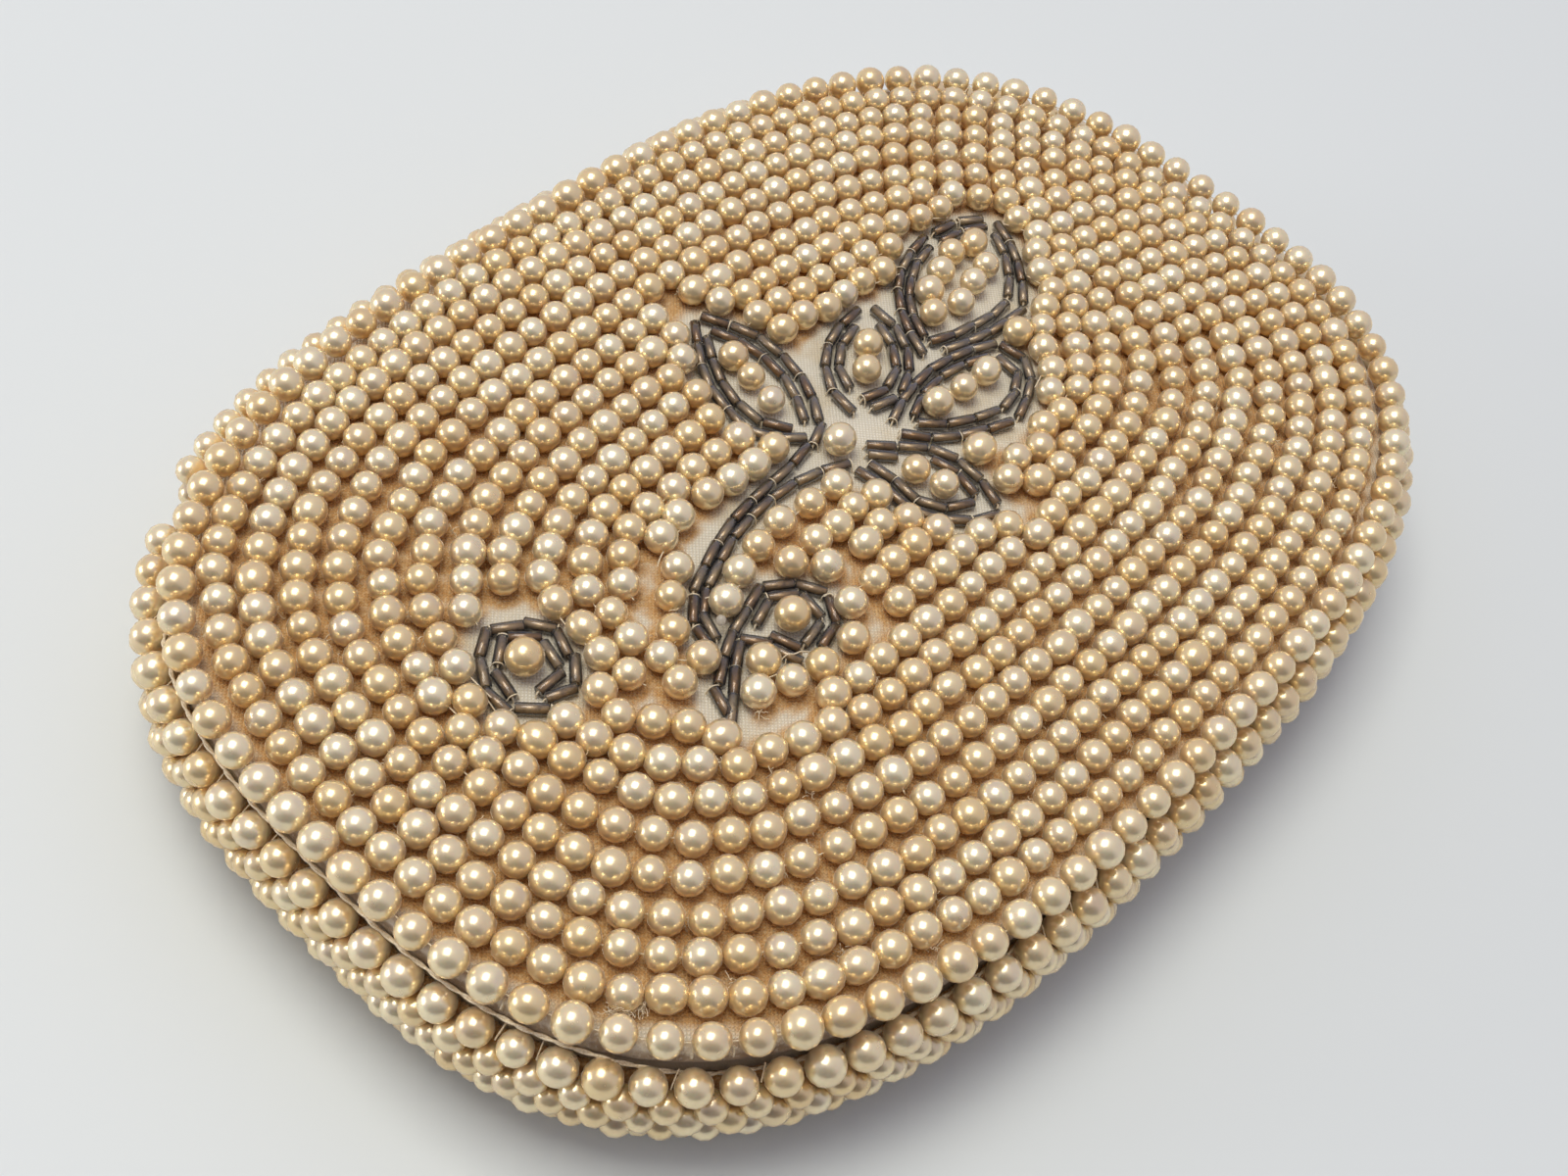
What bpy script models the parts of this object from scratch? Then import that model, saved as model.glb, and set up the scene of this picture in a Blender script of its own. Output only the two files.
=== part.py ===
"""Beaded evening clutch: an oval flap bag, sewn all over with simulated pearls.

The bag lies on its back. +X runs along its length, +Y points to the fold that carries the
flap, and +Z up through the beaded flap. Lengths are in metres.
"""

import math

import bmesh
import bpy
from mathutils import Matrix, Vector

MM = 0.001

# Outline that every layer follows: the line of the pearls along the flap's edge
HALF_LENGTH = 87.5 * MM
HALF_WIDTH = 59.5 * MM
OUTLINE_POWER = 2.9
OUTLINE_STEPS = 32
PATH_STEPS = 720
ARC_STEPS = 60

# Seat between pieces that touch
SEAT = 0.3 * MM

# Pearls
PEARL_DIAMETER = 4.0 * MM
PEARL_PITCH = 4.45 * MM
ROW_PITCH = 4.4 * MM
EDGE_PEARL_DIAMETER = 4.5 * MM
EDGE_PITCH = 5.15 * MM
HEART_PEARL_DIAMETER = 4.9 * MM
STRING_RADIUS = 0.3 * MM
NET_THICKNESS = 0.4 * MM
VALLEY_SHARE = 0.3
JOIN_SHARE = 0.6
PEARL_SIDES = 4

# Cloth, board and lining
COVER_THICKNESS = 0.9 * MM
BOARD_THICKNESS = 0.8 * MM
LINING_THICKNESS = 0.6 * MM
POCKET_DEPTH = 7.4 * MM
SNAP_SPACE = 2.0 * MM
DOME_RISE = 1.2 * MM
HEM_REACH = 1.6 * MM
HEM_THICKNESS = 0.8 * MM
HEM_ROUND = 0.35 * MM

# Bowl of the back: how far its wall stands out, and the corner between wall and belly
WALL_REACH = 2.0 * MM
CORNER_RUN = 10.0 * MM
CORNER_RISE = 9.0 * MM
CORNER_STEPS = 3

# Mouth, fold and seam
MOUTH_INSET = 19.5 * MM
NOTCH_INSET = 9.5 * MM
FAR_WALL_TOP = 12.8 * MM
FOLD_REACH = 3.5 * MM
RIM_REACH = 4.5 * MM
RIM_SINK = 5.6 * MM
THREAD_RADIUS = 0.45 * MM
THREAD_STEP = 8.0 * MM

# Press stud
STUD_INSET = 13.5 * MM
STUD_FLANGE_RADIUS = 4.6 * MM
STUD_FLANGE_THICKNESS = 0.7 * MM
STUD_BALL_RADIUS = 1.2 * MM
STUD_NECK_RADIUS = 0.9 * MM
SOCKET_RADIUS = 5.0 * MM
SOCKET_HEIGHT = 0.9 * MM
SOCKET_BORE_RADIUS = 1.9 * MM
SOCKET_GROOVE_RADIUS = 2.6 * MM
SPRING_WIRE_RADIUS = 0.2 * MM
SPRING_RADIUS = 2.05 * MM
SPRING_GAP_TURN = math.radians(50)
ROUND_STEPS = 12

# Bugle beads and the flower spray they draw, in shares of the spray's span
BUGLE_LENGTH = 4.1 * MM
BUGLE_RADIUS = 0.7 * MM
BUGLE_STEP = 4.5 * MM
BUGLE_ROW_GAP = 1.85 * MM
BUGLE_SIDES = 3
SPRAY_SPAN = 110.0 * MM
LEAF_POWER_SHARE = 0.75
LEAF_TIP_SHARE = 0.12
LEAF_SHARES = (
    ((-0.028, 0.047), (0.003, 0.264), 0.060),
    ((0.056, 0.035), (0.184, 0.129), 0.049),
    ((0.202, 0.069), (0.447, 0.133), 0.078),
    ((0.069, -0.025), (0.277, -0.028), 0.051),
    ((-0.005, -0.026), (0.058, -0.195), 0.056),
)
STEM_SHARES = (
    (-0.039, 0.021),
    (-0.129, 0.017),
    (-0.212, 0.007),
    (-0.275, -0.016),
    (-0.316, -0.055),
    (-0.320, -0.085),
)
TAIL_SHARES = (
    (-0.382, -0.159),
    (-0.350, -0.124),
    (-0.311, -0.099),
    (-0.273, -0.082),
)
RINGLET_TURNS = (-1.9, 3.9)
CURL_TURNS = (1.7, -2.7)
RINGLET_RADIUS_SHARE = 0.056
LEAF_PEARL_SHARES = (
    ((-0.005, 0.192), (-0.015, 0.154), (-0.022, 0.114)),
    ((0.146, 0.101), (0.110, 0.072)),
    (
        (0.254, 0.075),
        (0.282, 0.106),
        (0.325, 0.117),
        (0.364, 0.131),
        (0.402, 0.127),
        (0.381, 0.088),
        (0.341, 0.076),
        (0.299, 0.065),
    ),
    ((0.143, -0.025), (0.185, -0.035), (0.231, -0.033)),
    ((0.034, -0.078), (0.050, -0.116)),
)
HEART_SHARES = (
    ("spray_heart_pearl", (0.004, 0.016)),
    ("ringlet_heart_pearl", (-0.501, 0.039)),
    ("curl_heart_pearl", (-0.234, -0.120)),
)

# Levels, from the table up
PEARL_RADIUS = PEARL_DIAMETER / 2
EDGE_RADIUS = EDGE_PEARL_DIAMETER / 2
COVER_DEPTH = PEARL_DIAMETER + SEAT
BOARD_DEPTH = COVER_DEPTH + COVER_THICKNESS + SEAT
LINING_DEPTH = BOARD_DEPTH + BOARD_THICKNESS + SEAT
POCKET_FLOOR = LINING_DEPTH + LINING_THICKNESS
POCKET_ROOF = POCKET_FLOOR + POCKET_DEPTH
LINING_TOP = POCKET_ROOF + LINING_THICKNESS
FRONT_BOARD_BASE = LINING_TOP + SEAT
FRONT_COVER_BASE = FRONT_BOARD_BASE + BOARD_THICKNESS + SEAT
BODY_TOP = FRONT_COVER_BASE + COVER_THICKNESS
FLAP_BASE = BODY_TOP + SNAP_SPACE
FLAP_BOARD_BASE = FLAP_BASE + LINING_THICKNESS + SEAT
FLAP_COVER_BASE = FLAP_BOARD_BASE + BOARD_THICKNESS + SEAT
FLAP_TOP = FLAP_COVER_BASE + COVER_THICKNESS
EDGE_PEARL_Z = FLAP_TOP + SEAT + EDGE_RADIUS
RIM_Z = EDGE_PEARL_Z - RIM_SINK

# Places that follow from the sizes above
TIP_REACH = WALL_REACH + COVER_DEPTH
MOUTH_Y = HALF_WIDTH - MOUTH_INSET
NOTCH_Y = HALF_WIDTH - NOTCH_INSET
STUD_Y = STUD_INSET - HALF_WIDTH
CORNER_INSET = WALL_REACH - CORNER_RUN
FLAP_RING_INSETS = (20 * MM, 45 * MM)
HINGE_PLACE = Vector((0, HALF_WIDTH + FOLD_REACH, FLAP_COVER_BASE - SEAT * 2 / 3))
OVERRUN = 5.0 * MM

LAYER_COLOURS = {
    "pearl": ((0.86, 0.72, 0.55, 1), 0.2, 0.0),
    "ground_cloth": ((0.76, 0.71, 0.62, 1), 0.85, 0.0),
    "satin": ((0.83, 0.76, 0.64, 1), 0.35, 0.0),
    "board": ((0.62, 0.58, 0.5, 1), 0.9, 0.0),
    "bugle_glass": ((0.24, 0.21, 0.18, 1), 0.15, 0.6),
    "thread": ((0.85, 0.79, 0.68, 1), 0.8, 0.0),
    "snap_metal": ((0.7, 0.7, 0.68, 1), 0.3, 1.0),
}


def make_material(name):
    """A Principled material in one layer's colour, roughness and metallic value."""
    colour, roughness, metallic = LAYER_COLOURS[name]
    material = bpy.data.materials.new(name)
    material.use_nodes = True
    shader = material.node_tree.nodes["Principled BSDF"]
    shader.inputs["Base Color"].default_value = colour
    shader.inputs["Roughness"].default_value = roughness
    shader.inputs["Metallic"].default_value = metallic
    return material


def place(name, bm, material, hinge=None):
    """Make an object from a bmesh; a moving piece hangs from the empty on its hinge."""
    bmesh.ops.recalc_face_normals(bm, faces=bm.faces)
    if hinge:
        bmesh.ops.translate(bm, verts=bm.verts, vec=-hinge.location)
    mesh = bpy.data.meshes.new(name)
    bm.to_mesh(mesh)
    bm.free()
    mesh.materials.append(material)
    piece = bpy.data.objects.new(name, mesh)
    piece.parent = hinge
    bpy.context.collection.objects.link(piece)
    return piece


def cut(piece, cutter):
    """Take a cutter's shape out of a piece."""
    cutter.hide_render = True
    cutter.display_type = "WIRE"
    modifier = piece.modifiers.new("cut_by_" + cutter.name, "BOOLEAN")
    modifier.operation = "DIFFERENCE"
    modifier.solver = "EXACT"
    modifier.object = cutter


def outline(offset, steps=OUTLINE_STEPS):
    """The bag's outline moved outwards by an offset, anticlockwise from +X."""
    power = 2 / OUTLINE_POWER
    points = []
    for step in range(steps):
        turn = math.tau * step / steps
        along = math.cos(turn)
        across = math.sin(turn)
        x = math.copysign(abs(along) ** power, along) * (HALF_LENGTH + offset)
        y = math.copysign(abs(across) ** power, across) * (HALF_WIDTH + offset)
        points.append((x, y))
    return points


def ring(offset, height):
    """One closed ring of the outline at a height."""
    return [Vector((x, y, height)) for x, y in outline(offset)]


def dome(offset):
    """How far the flap has risen above its edge, at an offset from the outline."""
    share = (HALF_WIDTH + offset) / HALF_WIDTH
    return DOME_RISE * max(0, 1 - share * share)


def inset_at(x, y):
    """The offset of the outline that passes through a point, found by halving."""
    low = -HALF_WIDTH
    high = RIM_REACH
    while high - low > SEAT / 10:
        middle = (low + high) / 2
        reach_x = abs(x) / (HALF_LENGTH + middle)
        reach_y = abs(y) / (HALF_WIDTH + middle)
        outside = reach_x**OUTLINE_POWER + reach_y**OUTLINE_POWER > 1
        low, high = (middle, high) if outside else (low, middle)
    return low


def loft(name, rings, material, hinge=None):
    """A closed solid through rings of equal count, filled at its first and last ring."""
    bm = bmesh.new()
    loops = [[bm.verts.new(point) for point in points] for points in rings]
    for low, high in zip(loops, loops[1:]):
        for index, vert in enumerate(low):
            after = (index + 1) % len(low)
            bm.faces.new((vert, low[after], high[after], high[index]))
    bm.faces.new(loops[0])
    bm.faces.new(loops[-1])
    return place(name, bm, material, hinge)


def prism(name, points, base, top, material, hinge=None):
    """A flat plate with the given outline between two heights."""
    rings = [[Vector((x, y, height)) for x, y in points] for height in (base, top)]
    return loft(name, rings, material, hinge)


def revolve(name, profile, centre, material, hinge=None):
    """A turned piece about +Z; the profile is a closed loop of (radius, height)."""
    bm = bmesh.new()
    verts = [bm.verts.new((radius, 0, height)) for radius, height in profile]
    edges = [bm.edges.new((verts[i - 1], vert)) for i, vert in enumerate(verts)]
    bmesh.ops.spin(
        bm,
        geom=verts + edges,
        axis=(0, 0, 1),
        cent=(0, 0, 0),
        angle=math.tau,
        steps=ROUND_STEPS,
        use_merge=True,
    )
    bmesh.ops.translate(bm, verts=bm.verts, vec=centre)
    return place(name, bm, material, hinge)


def bowl_profile(depth, top):
    """Offsets and heights of a layer of the back, from its belly up to its rim.

    depth is how far the layer lies inside the tips of the pearls.
    """
    run = CORNER_RUN + COVER_DEPTH - depth
    rise = CORNER_RISE + COVER_DEPTH - depth
    points = []
    for step in range(CORNER_STEPS + 1):
        turn = math.pi / 2 * step / CORNER_STEPS
        offset = CORNER_INSET + run * math.sin(turn)
        height = depth + rise * (1 - math.cos(turn))
        points.append((offset, height))
    points.append((CORNER_INSET + run, top))
    return points


def plate_rings(edge, base, reverse=False):
    """Rings of one face of the flap, from its crown out to its edge."""
    insets = [-inset for inset in reversed(FLAP_RING_INSETS)] + [edge]
    rings = [ring(offset, base + dome(offset)) for offset in insets]
    return rings[::-1] if reverse else rings


def open_at_gap(points):
    """Part of a ring, turned so that it starts just after its gap."""
    start = 0
    for index, point in enumerate(points):
        if math.dist(point, points[index - 1]) > ROW_PITCH:
            start = index
    return points[start:] + points[:start]


def clipped(offset, limit, beyond):
    """The outline's points on one side of a line across the bag, with its two crossings."""
    points = outline(offset)
    kept = []
    for before, after in zip(points[-1:] + points, points):
        if (before[1] > limit) != (after[1] > limit):
            share = (limit - before[1]) / (after[1] - before[1])
            kept.append((before[0] + (after[0] - before[0]) * share, limit))
        if (after[1] > limit) == beyond:
            kept.append(after)
    return kept


def walk(points, pitch, closed=True):
    """Evenly spaced places along a path, each with the path's direction there."""
    path = [Vector(point) for point in points]
    if closed:
        path.append(path[0])
    lengths = [(after - before).length for before, after in zip(path, path[1:])]
    total = sum(lengths)
    count = max(2, round(total / pitch))
    spans = count if closed else count - 1
    places = []
    index = 0
    passed = 0
    for number in range(count):
        target = total * number / spans
        while passed + lengths[index] < target and index < len(lengths) - 1:
            passed += lengths[index]
            index += 1
        direction = (path[index + 1] - path[index]).normalized()
        places.append((path[index] + direction * (target - passed), direction))
    return places


def tube(name, points, radii, sides, material, hinge=None, closed=False):
    """One unbroken round string along points in a level plane, with its own radius at each."""
    bm = bmesh.new()
    loops = []
    count = len(points)
    for index, (point, radius) in enumerate(zip(points, radii)):
        before = points[index - 1] if closed or index else point
        after = points[(index + 1) % count] if closed or index < count - 1 else point
        direction = (after - before).normalized()
        side = Vector((-direction.y, direction.x, 0)).normalized()
        loop = []
        for corner in range(sides):
            turn = math.pi / 2 + math.tau * corner / sides
            offset = side * math.cos(turn) + Vector((0, 0, math.sin(turn)))
            loop.append(bm.verts.new(point + offset * radius))
        loops.append(loop)
    pairs = list(zip(loops, loops[1:]))
    if closed:
        pairs.append((loops[-1], loops[0]))
    else:
        bm.faces.new(loops[0])
        bm.faces.new(loops[-1])
    for low, high in pairs:
        for corner, vert in enumerate(low):
            after = (corner + 1) % sides
            bm.faces.new((vert, low[after], high[after], high[corner]))
    return place(name, bm, material, hinge)


def pearl_string(name, centres, radius, material, hinge=None, closed=False):
    """Pearls on one thread: the string is thick at each pearl and thin between two."""
    points = []
    radii = []
    count = len(centres)
    for index, centre in enumerate(centres):
        points.append(centre)
        radii.append(radius)
        if closed or index < count - 1:
            points.append((centre + centres[(index + 1) % count]) / 2)
            radii.append(STRING_RADIUS)
    if not closed:
        first = (centres[0] - points[1]).normalized() * radius
        last = (centres[-1] - points[-2]).normalized() * radius
        points = [centres[0] + first] + points + [centres[-1] + last]
        radii = [STRING_RADIUS] + radii + [STRING_RADIUS]
    return tube(name, points, radii, PEARL_SIDES, material, hinge, closed)


def spray_point(shares):
    """A point of the flower spray from its shares of the span."""
    return Vector((shares[0] * SPRAY_SPAN, shares[1] * SPRAY_SPAN))


def leaf_width(share, half_width):
    """Half the width of a leaf at a share of the way from its base to its tip."""
    return half_width * max(0, math.sin(math.pi * share)) ** LEAF_POWER_SHARE


def leaf_path(base, tip, half_width, inner, sign):
    """One side of a leaf, from its base to its tip, along its outer or its inner row."""
    along = tip - base
    side = Vector((-along.y, along.x)).normalized() * sign
    shrink = LEAF_TIP_SHARE if inner else 0
    reach = half_width - (BUGLE_ROW_GAP if inner else 0)
    path = []
    for step in range(ARC_STEPS + 1):
        share = step / ARC_STEPS
        spot = base + along * (shrink + (1 - 2 * shrink) * share)
        path.append(spot + side * leaf_width(share, reach))
    return path


def smooth_path(points):
    """A smooth curve through a few points, as a list of close points."""
    ends = [points[0] * 2 - points[1]] + points + [points[-1] * 2 - points[-2]]
    path = []
    for before, start, end, after in zip(ends, ends[1:], ends[2:], ends[3:]):
        for step in range(ARC_STEPS):
            share = step / ARC_STEPS
            bend_in = (end - before) / 2
            bend_out = (after - start) / 2
            gap = end - start
            square = (gap * 3 - bend_in * 2 - bend_out) * share**2
            cube = (bend_in + bend_out - gap * 2) * share**3
            path.append(start + bend_in * share + square + cube)
    path.append(points[-1])
    return path


def beside(path, distance):
    """The same path moved to its right by a distance."""
    moved = []
    for index, point in enumerate(path):
        before = path[max(0, index - 1)]
        after = path[min(len(path) - 1, index + 1)]
        direction = (after - before).normalized()
        moved.append(point + Vector((direction.y, -direction.x)) * distance)
    return moved


def arc_path(centre, radius, turns):
    """Part of a circle between two turns."""
    start, end = turns
    path = []
    for step in range(ARC_STEPS + 1):
        turn = start + (end - start) * step / ARC_STEPS
        path.append(centre + Vector((math.cos(turn), math.sin(turn))) * radius)
    return path


def spray_strings():
    """Name and paths of each string of bugles, in the order in which it is sewn."""
    strings = []
    for number, (base_share, tip_share, width_share) in enumerate(LEAF_SHARES, 1):
        leaf = (spray_point(base_share), spray_point(tip_share), width_share * SPRAY_SPAN)
        outer = [leaf_path(*leaf, False, sign) for sign in (1, -1)]
        inner = [leaf_path(*leaf, True, sign) for sign in (-1, 1)]
        paths = [outer[0], outer[1][::-1], inner[0], inner[1][::-1]]
        strings.append((f"leaf_{number}_bugles", paths))
    stem = smooth_path([spray_point(point) for point in STEM_SHARES])
    strings.append(("stem_bugles", [stem, beside(stem, -BUGLE_ROW_GAP)[::-1]]))
    radius = RINGLET_RADIUS_SHARE * SPRAY_SPAN
    tail = smooth_path([spray_point(point) for point in TAIL_SHARES])
    curl = spray_point(HEART_SHARES[2][1])
    outer = tail + arc_path(curl, radius, CURL_TURNS)
    inner = arc_path(curl, radius - BUGLE_ROW_GAP, CURL_TURNS)[::-1]
    strings.append(("curl_bugles", [outer, inner + beside(tail, BUGLE_ROW_GAP)[::-1]]))
    ringlet = spray_point(HEART_SHARES[1][1])
    rows = [arc_path(ringlet, radius, RINGLET_TURNS)]
    rows.append(arc_path(ringlet, radius - BUGLE_ROW_GAP, RINGLET_TURNS)[::-1])
    strings.append(("ringlet_bugles", rows))
    return strings


def spray_pearls():
    """Places and radii of all the pearls inside the spray."""
    pearls = []
    for places in LEAF_PEARL_SHARES:
        pearls += [(spray_point(shares), PEARL_RADIUS) for shares in places]
    pearls += [(spray_point(shares), HEART_PEARL_DIAMETER / 2) for _, shares in HEART_SHARES]
    return pearls


def segment_distance(point, start, end):
    """How far a point lies from a straight run."""
    run = end - start
    share = (point - start).dot(run) / run.length_squared
    return (point - start - run * min(1, max(0, share))).length


def runs_apart(first, second):
    """The least distance between two straight runs, or zero where they cross."""
    (a, b), (c, d) = first, second
    side_a = (b - a).cross(c - a)
    side_b = (b - a).cross(d - a)
    side_c = (d - c).cross(a - c)
    side_d = (d - c).cross(b - c)
    if side_a * side_b < 0 and side_c * side_d < 0:
        return 0
    ends = [segment_distance(a, c, d), segment_distance(b, c, d)]
    ends += [segment_distance(c, a, b), segment_distance(d, a, b)]
    return min(ends)


def is_clear(run, radius, sewn, pearls):
    """Whether a run of bugle or thread stays clear of what is sewn already."""
    for other, other_radius in sewn:
        if runs_apart(run, other) < radius + other_radius + SEAT / 3:
            return False
    for pearl, pearl_radius in pearls:
        if segment_distance(pearl, *run) < radius + pearl_radius:
            return False
    return True


def sew_strings(pearls):
    """Each string's bugles in order, every bugle and thread clear of all the others."""
    sewn = []
    strings = []
    for name, paths in spray_strings():
        runs = []
        for path in paths:
            for centre, direction in walk(path, BUGLE_STEP, closed=False)[:-1]:
                middle = centre + direction * BUGLE_STEP / 2
                half = direction * BUGLE_LENGTH / 2
                run = (middle - half, middle + half)
                links = []
                if runs:
                    links = [((runs[-1][1], run[0]), STRING_RADIUS)]
                earlier = sewn[:-1] if runs else sewn
                clear = is_clear(run, BUGLE_RADIUS, earlier, pearls)
                if runs and (run[0] - runs[-1][1]).length < STRING_RADIUS:
                    continue
                if clear and all(is_clear(link, size, earlier, pearls) for link, size in links):
                    sewn += links + [(run, BUGLE_RADIUS)]
                    runs.append(run)
        strings.append((name, runs))
    return strings


def inside_leaf(point):
    """Whether a point lies within one of the leaves."""
    for base_shares, tip_shares, width_share in LEAF_SHARES:
        base = spray_point(base_shares)
        along = spray_point(tip_shares) - base
        share = (point - base).dot(along) / along.length_squared
        if 0 < share < 1:
            across = abs((point - base).cross(along)) / along.length
            if across < leaf_width(share, width_share * SPRAY_SPAN):
                return True
    return False


def is_bare(spot, pearls, runs):
    """Whether the field leaves its pearl out here, to make room for the spray."""
    room = PEARL_PITCH
    if any((spot - pearl).length < PEARL_RADIUS + radius + SEAT for pearl, radius in pearls):
        return True
    return inside_leaf(spot) or any(segment_distance(spot, *run) < room for run in runs)


def peak_ring(offset, pearls, runs):
    """One row of the field: points that stand up at each pearl and dip between two."""
    spots = [spot for spot, _ in walk(outline(offset, PATH_STEPS), PEARL_PITCH / 2)]
    spots = spots[: len(spots) // 2 * 2]
    base = FLAP_TOP + SEAT + dome(offset)
    tall = [not is_bare(spot, pearls, runs) for spot in spots[::2]]
    points = []
    for index, spot in enumerate(spots):
        pearl = index // 2
        height = NET_THICKNESS
        if index % 2 == 0 and tall[pearl]:
            height = PEARL_DIAMETER
        elif index % 2 and tall[pearl] and tall[(pearl + 1) % len(tall)]:
            height = PEARL_DIAMETER * JOIN_SHARE
        points.append(Vector((spot.x, spot.y, base + height)))
    return points


def valley_ring(offset, pearls, runs):
    """The dip between two rows of the field."""
    base = FLAP_TOP + SEAT + dome(offset)
    points = []
    for spot, _ in walk(outline(offset, PATH_STEPS), PEARL_PITCH):
        bare = is_bare(spot, pearls, runs)
        height = NET_THICKNESS if bare else PEARL_DIAMETER * VALLEY_SHARE
        points.append(Vector((spot.x, spot.y, base + height)))
    return points


def stitch(bm, first, second):
    """Triangles between two rings of unlike counts, both starting at the same side."""
    step_a = step_b = 0
    while step_a < len(first) or step_b < len(second):
        low = first[step_a % len(first)]
        high = second[step_b % len(second)]
        share_a = (step_a + 1) / len(first)
        share_b = (step_b + 1) / len(second)
        if step_b >= len(second) or (step_a < len(first) and share_a < share_b):
            step_a += 1
            bm.faces.new((low, first[step_a % len(first)], high))
        else:
            step_b += 1
            bm.faces.new((low, second[step_b % len(second)], high))


def make_field(materials, hinge, pearls, runs):
    """The field of pearls on its net: one sheet that peaks at every pearl."""
    edge = -ROW_PITCH / 2
    rings = [ring(offset, height) for offset, height in net_base(edge)]
    rings.append(valley_ring(edge, pearls, runs))
    row = 1
    while (row + 1) * ROW_PITCH < HALF_WIDTH:
        rings.append(peak_ring(-row * ROW_PITCH, pearls, runs))
        rings.append(valley_ring(-(row + 0.5) * ROW_PITCH, pearls, runs))
        row += 1
    bm = bmesh.new()
    loops = [[bm.verts.new(point) for point in points] for points in rings]
    for first, second in zip(loops, loops[1:]):
        stitch(bm, first, second)
    bm.faces.new(loops[0])
    bm.faces.new(loops[-1])
    place("flap_field_pearls", bm, materials["pearl"], hinge)


def net_base(edge):
    """Offsets and heights of the net's underside, from its crown out to its edge."""
    offsets = [-inset for inset in reversed(FLAP_RING_INSETS)] + [edge]
    return [(offset, FLAP_TOP + SEAT + dome(offset)) for offset in offsets]


def row_around(offset, height, pitch, near=True):
    """Places in one row round the near side, or along the fold between the notches."""
    points = outline(offset, PATH_STEPS)
    far_start = NOTCH_Y + EDGE_PEARL_DIAMETER + SEAT
    if near:
        side = [point for point in points if point[1] < NOTCH_Y]
    else:
        side = [point for point in points if point[1] > far_start]
    path = open_at_gap(side)
    return [Vector((spot.x, spot.y, height)) for spot, _ in walk(path, pitch, closed=False)]


def make_back(materials):
    """The bowl-shaped back: cover, belly board and the pearls sewn outside it."""
    outer = bowl_profile(COVER_DEPTH, BODY_TOP)
    inner = bowl_profile(COVER_DEPTH + COVER_THICKNESS, BODY_TOP)
    profile = outer + inner[::-1]
    cover = loft("back_cover", [ring(*point) for point in profile], materials["ground_cloth"])

    board_edge = CORNER_INSET - SEAT
    board_top = BOARD_DEPTH + BOARD_THICKNESS
    prism("belly_board", outline(board_edge), BOARD_DEPTH, board_top, materials["board"])

    belly_edge = CORNER_INSET
    belly_rows = int((HALF_WIDTH + belly_edge) / ROW_PITCH)
    belly_heart = belly_edge - belly_rows * ROW_PITCH
    profile = ridged([(belly_heart, 0), (belly_edge, 0)]) + [(belly_edge, PEARL_DIAMETER)]
    loft("belly_pearls", [ring(*point) for point in profile], materials["pearl"])

    wall_top = RIM_Z - EDGE_RADIUS - SEAT
    tips = bowl_profile(0, wall_top)
    backs = bowl_profile(PEARL_DIAMETER, wall_top)
    tips[0] = (belly_edge + SEAT, 0)
    backs[0] = (belly_edge + SEAT, PEARL_DIAMETER)
    loops = [ring(*point) for point in ridged(tips) + backs[::-1]]
    wall = close_loft("wall_pearls", loops, materials["pearl"])

    reach = HALF_LENGTH + TIP_REACH + OVERRUN
    corners = ((-reach, NOTCH_Y), (reach, NOTCH_Y), (reach, reach), (-reach, reach))
    gap = prism("far_wall_gap", corners, FAR_WALL_TOP, BODY_TOP + OVERRUN, materials["board"])
    cut(cover, gap)
    cut(wall, gap)


def ridged(points):
    """A profile that becomes rows of pearls, with a dip between two rows."""
    length = sum(math.dist(before, after) for before, after in zip(points, points[1:]))
    count = max(1, round(length / ROW_PITCH))
    places = walk(points, length / (count * 2 + 1), closed=False)
    rows = []
    for number, (spot, direction) in enumerate(places):
        inward = Vector((-direction.y, direction.x))
        dip = 0 if number % 2 else PEARL_RADIUS
        rows.append(tuple(spot + inward * dip))
    return [points[0], *rows[1:-1], points[-1]]


def close_loft(name, rings, material):
    """A ring-shaped solid: a loft whose last ring joins its first."""
    bm = bmesh.new()
    loops = [[bm.verts.new(point) for point in points] for points in rings]
    for number, low in enumerate(loops):
        high = loops[(number + 1) % len(loops)]
        for index, vert in enumerate(low):
            after = (index + 1) % len(low)
            bm.faces.new((vert, low[after], high[after], high[index]))
    return place(name, bm, material)


def make_fold(materials):
    """The strip of cloth between the back and the flap, with its two rows of pearls."""
    outside = clipped(WALL_REACH, NOTCH_Y + SEAT, True)
    inside = clipped(WALL_REACH - COVER_THICKNESS, NOTCH_Y + SEAT, True)
    base = FAR_WALL_TOP + SEAT
    top = FLAP_BASE - SEAT
    prism("fold_cloth", outside + inside[::-1], base, top, materials["ground_cloth"])

    reach = RIM_REACH + EDGE_RADIUS - PEARL_RADIUS
    low = base + PEARL_RADIUS
    for name, height in (("fold_low_pearls", low), ("fold_high_pearls", low + ROW_PITCH)):
        centres = row_around(reach, height, PEARL_PITCH, near=False)
        pearl_string(name, centres, PEARL_RADIUS, materials["pearl"])


def make_front(materials):
    """The panel under the flap, which stops short of the fold and leaves the mouth open."""
    cover_edge = WALL_REACH - COVER_THICKNESS - SEAT
    cover_outline = clipped(cover_edge, MOUTH_Y, False)
    prism("front_cover", cover_outline, FRONT_COVER_BASE, BODY_TOP, materials["satin"])

    board_outline = clipped(cover_edge - SEAT, MOUTH_Y - SEAT, False)
    board_top = FRONT_BOARD_BASE + BOARD_THICKNESS
    prism("front_board", board_outline, FRONT_BOARD_BASE, board_top, materials["board"])


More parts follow.
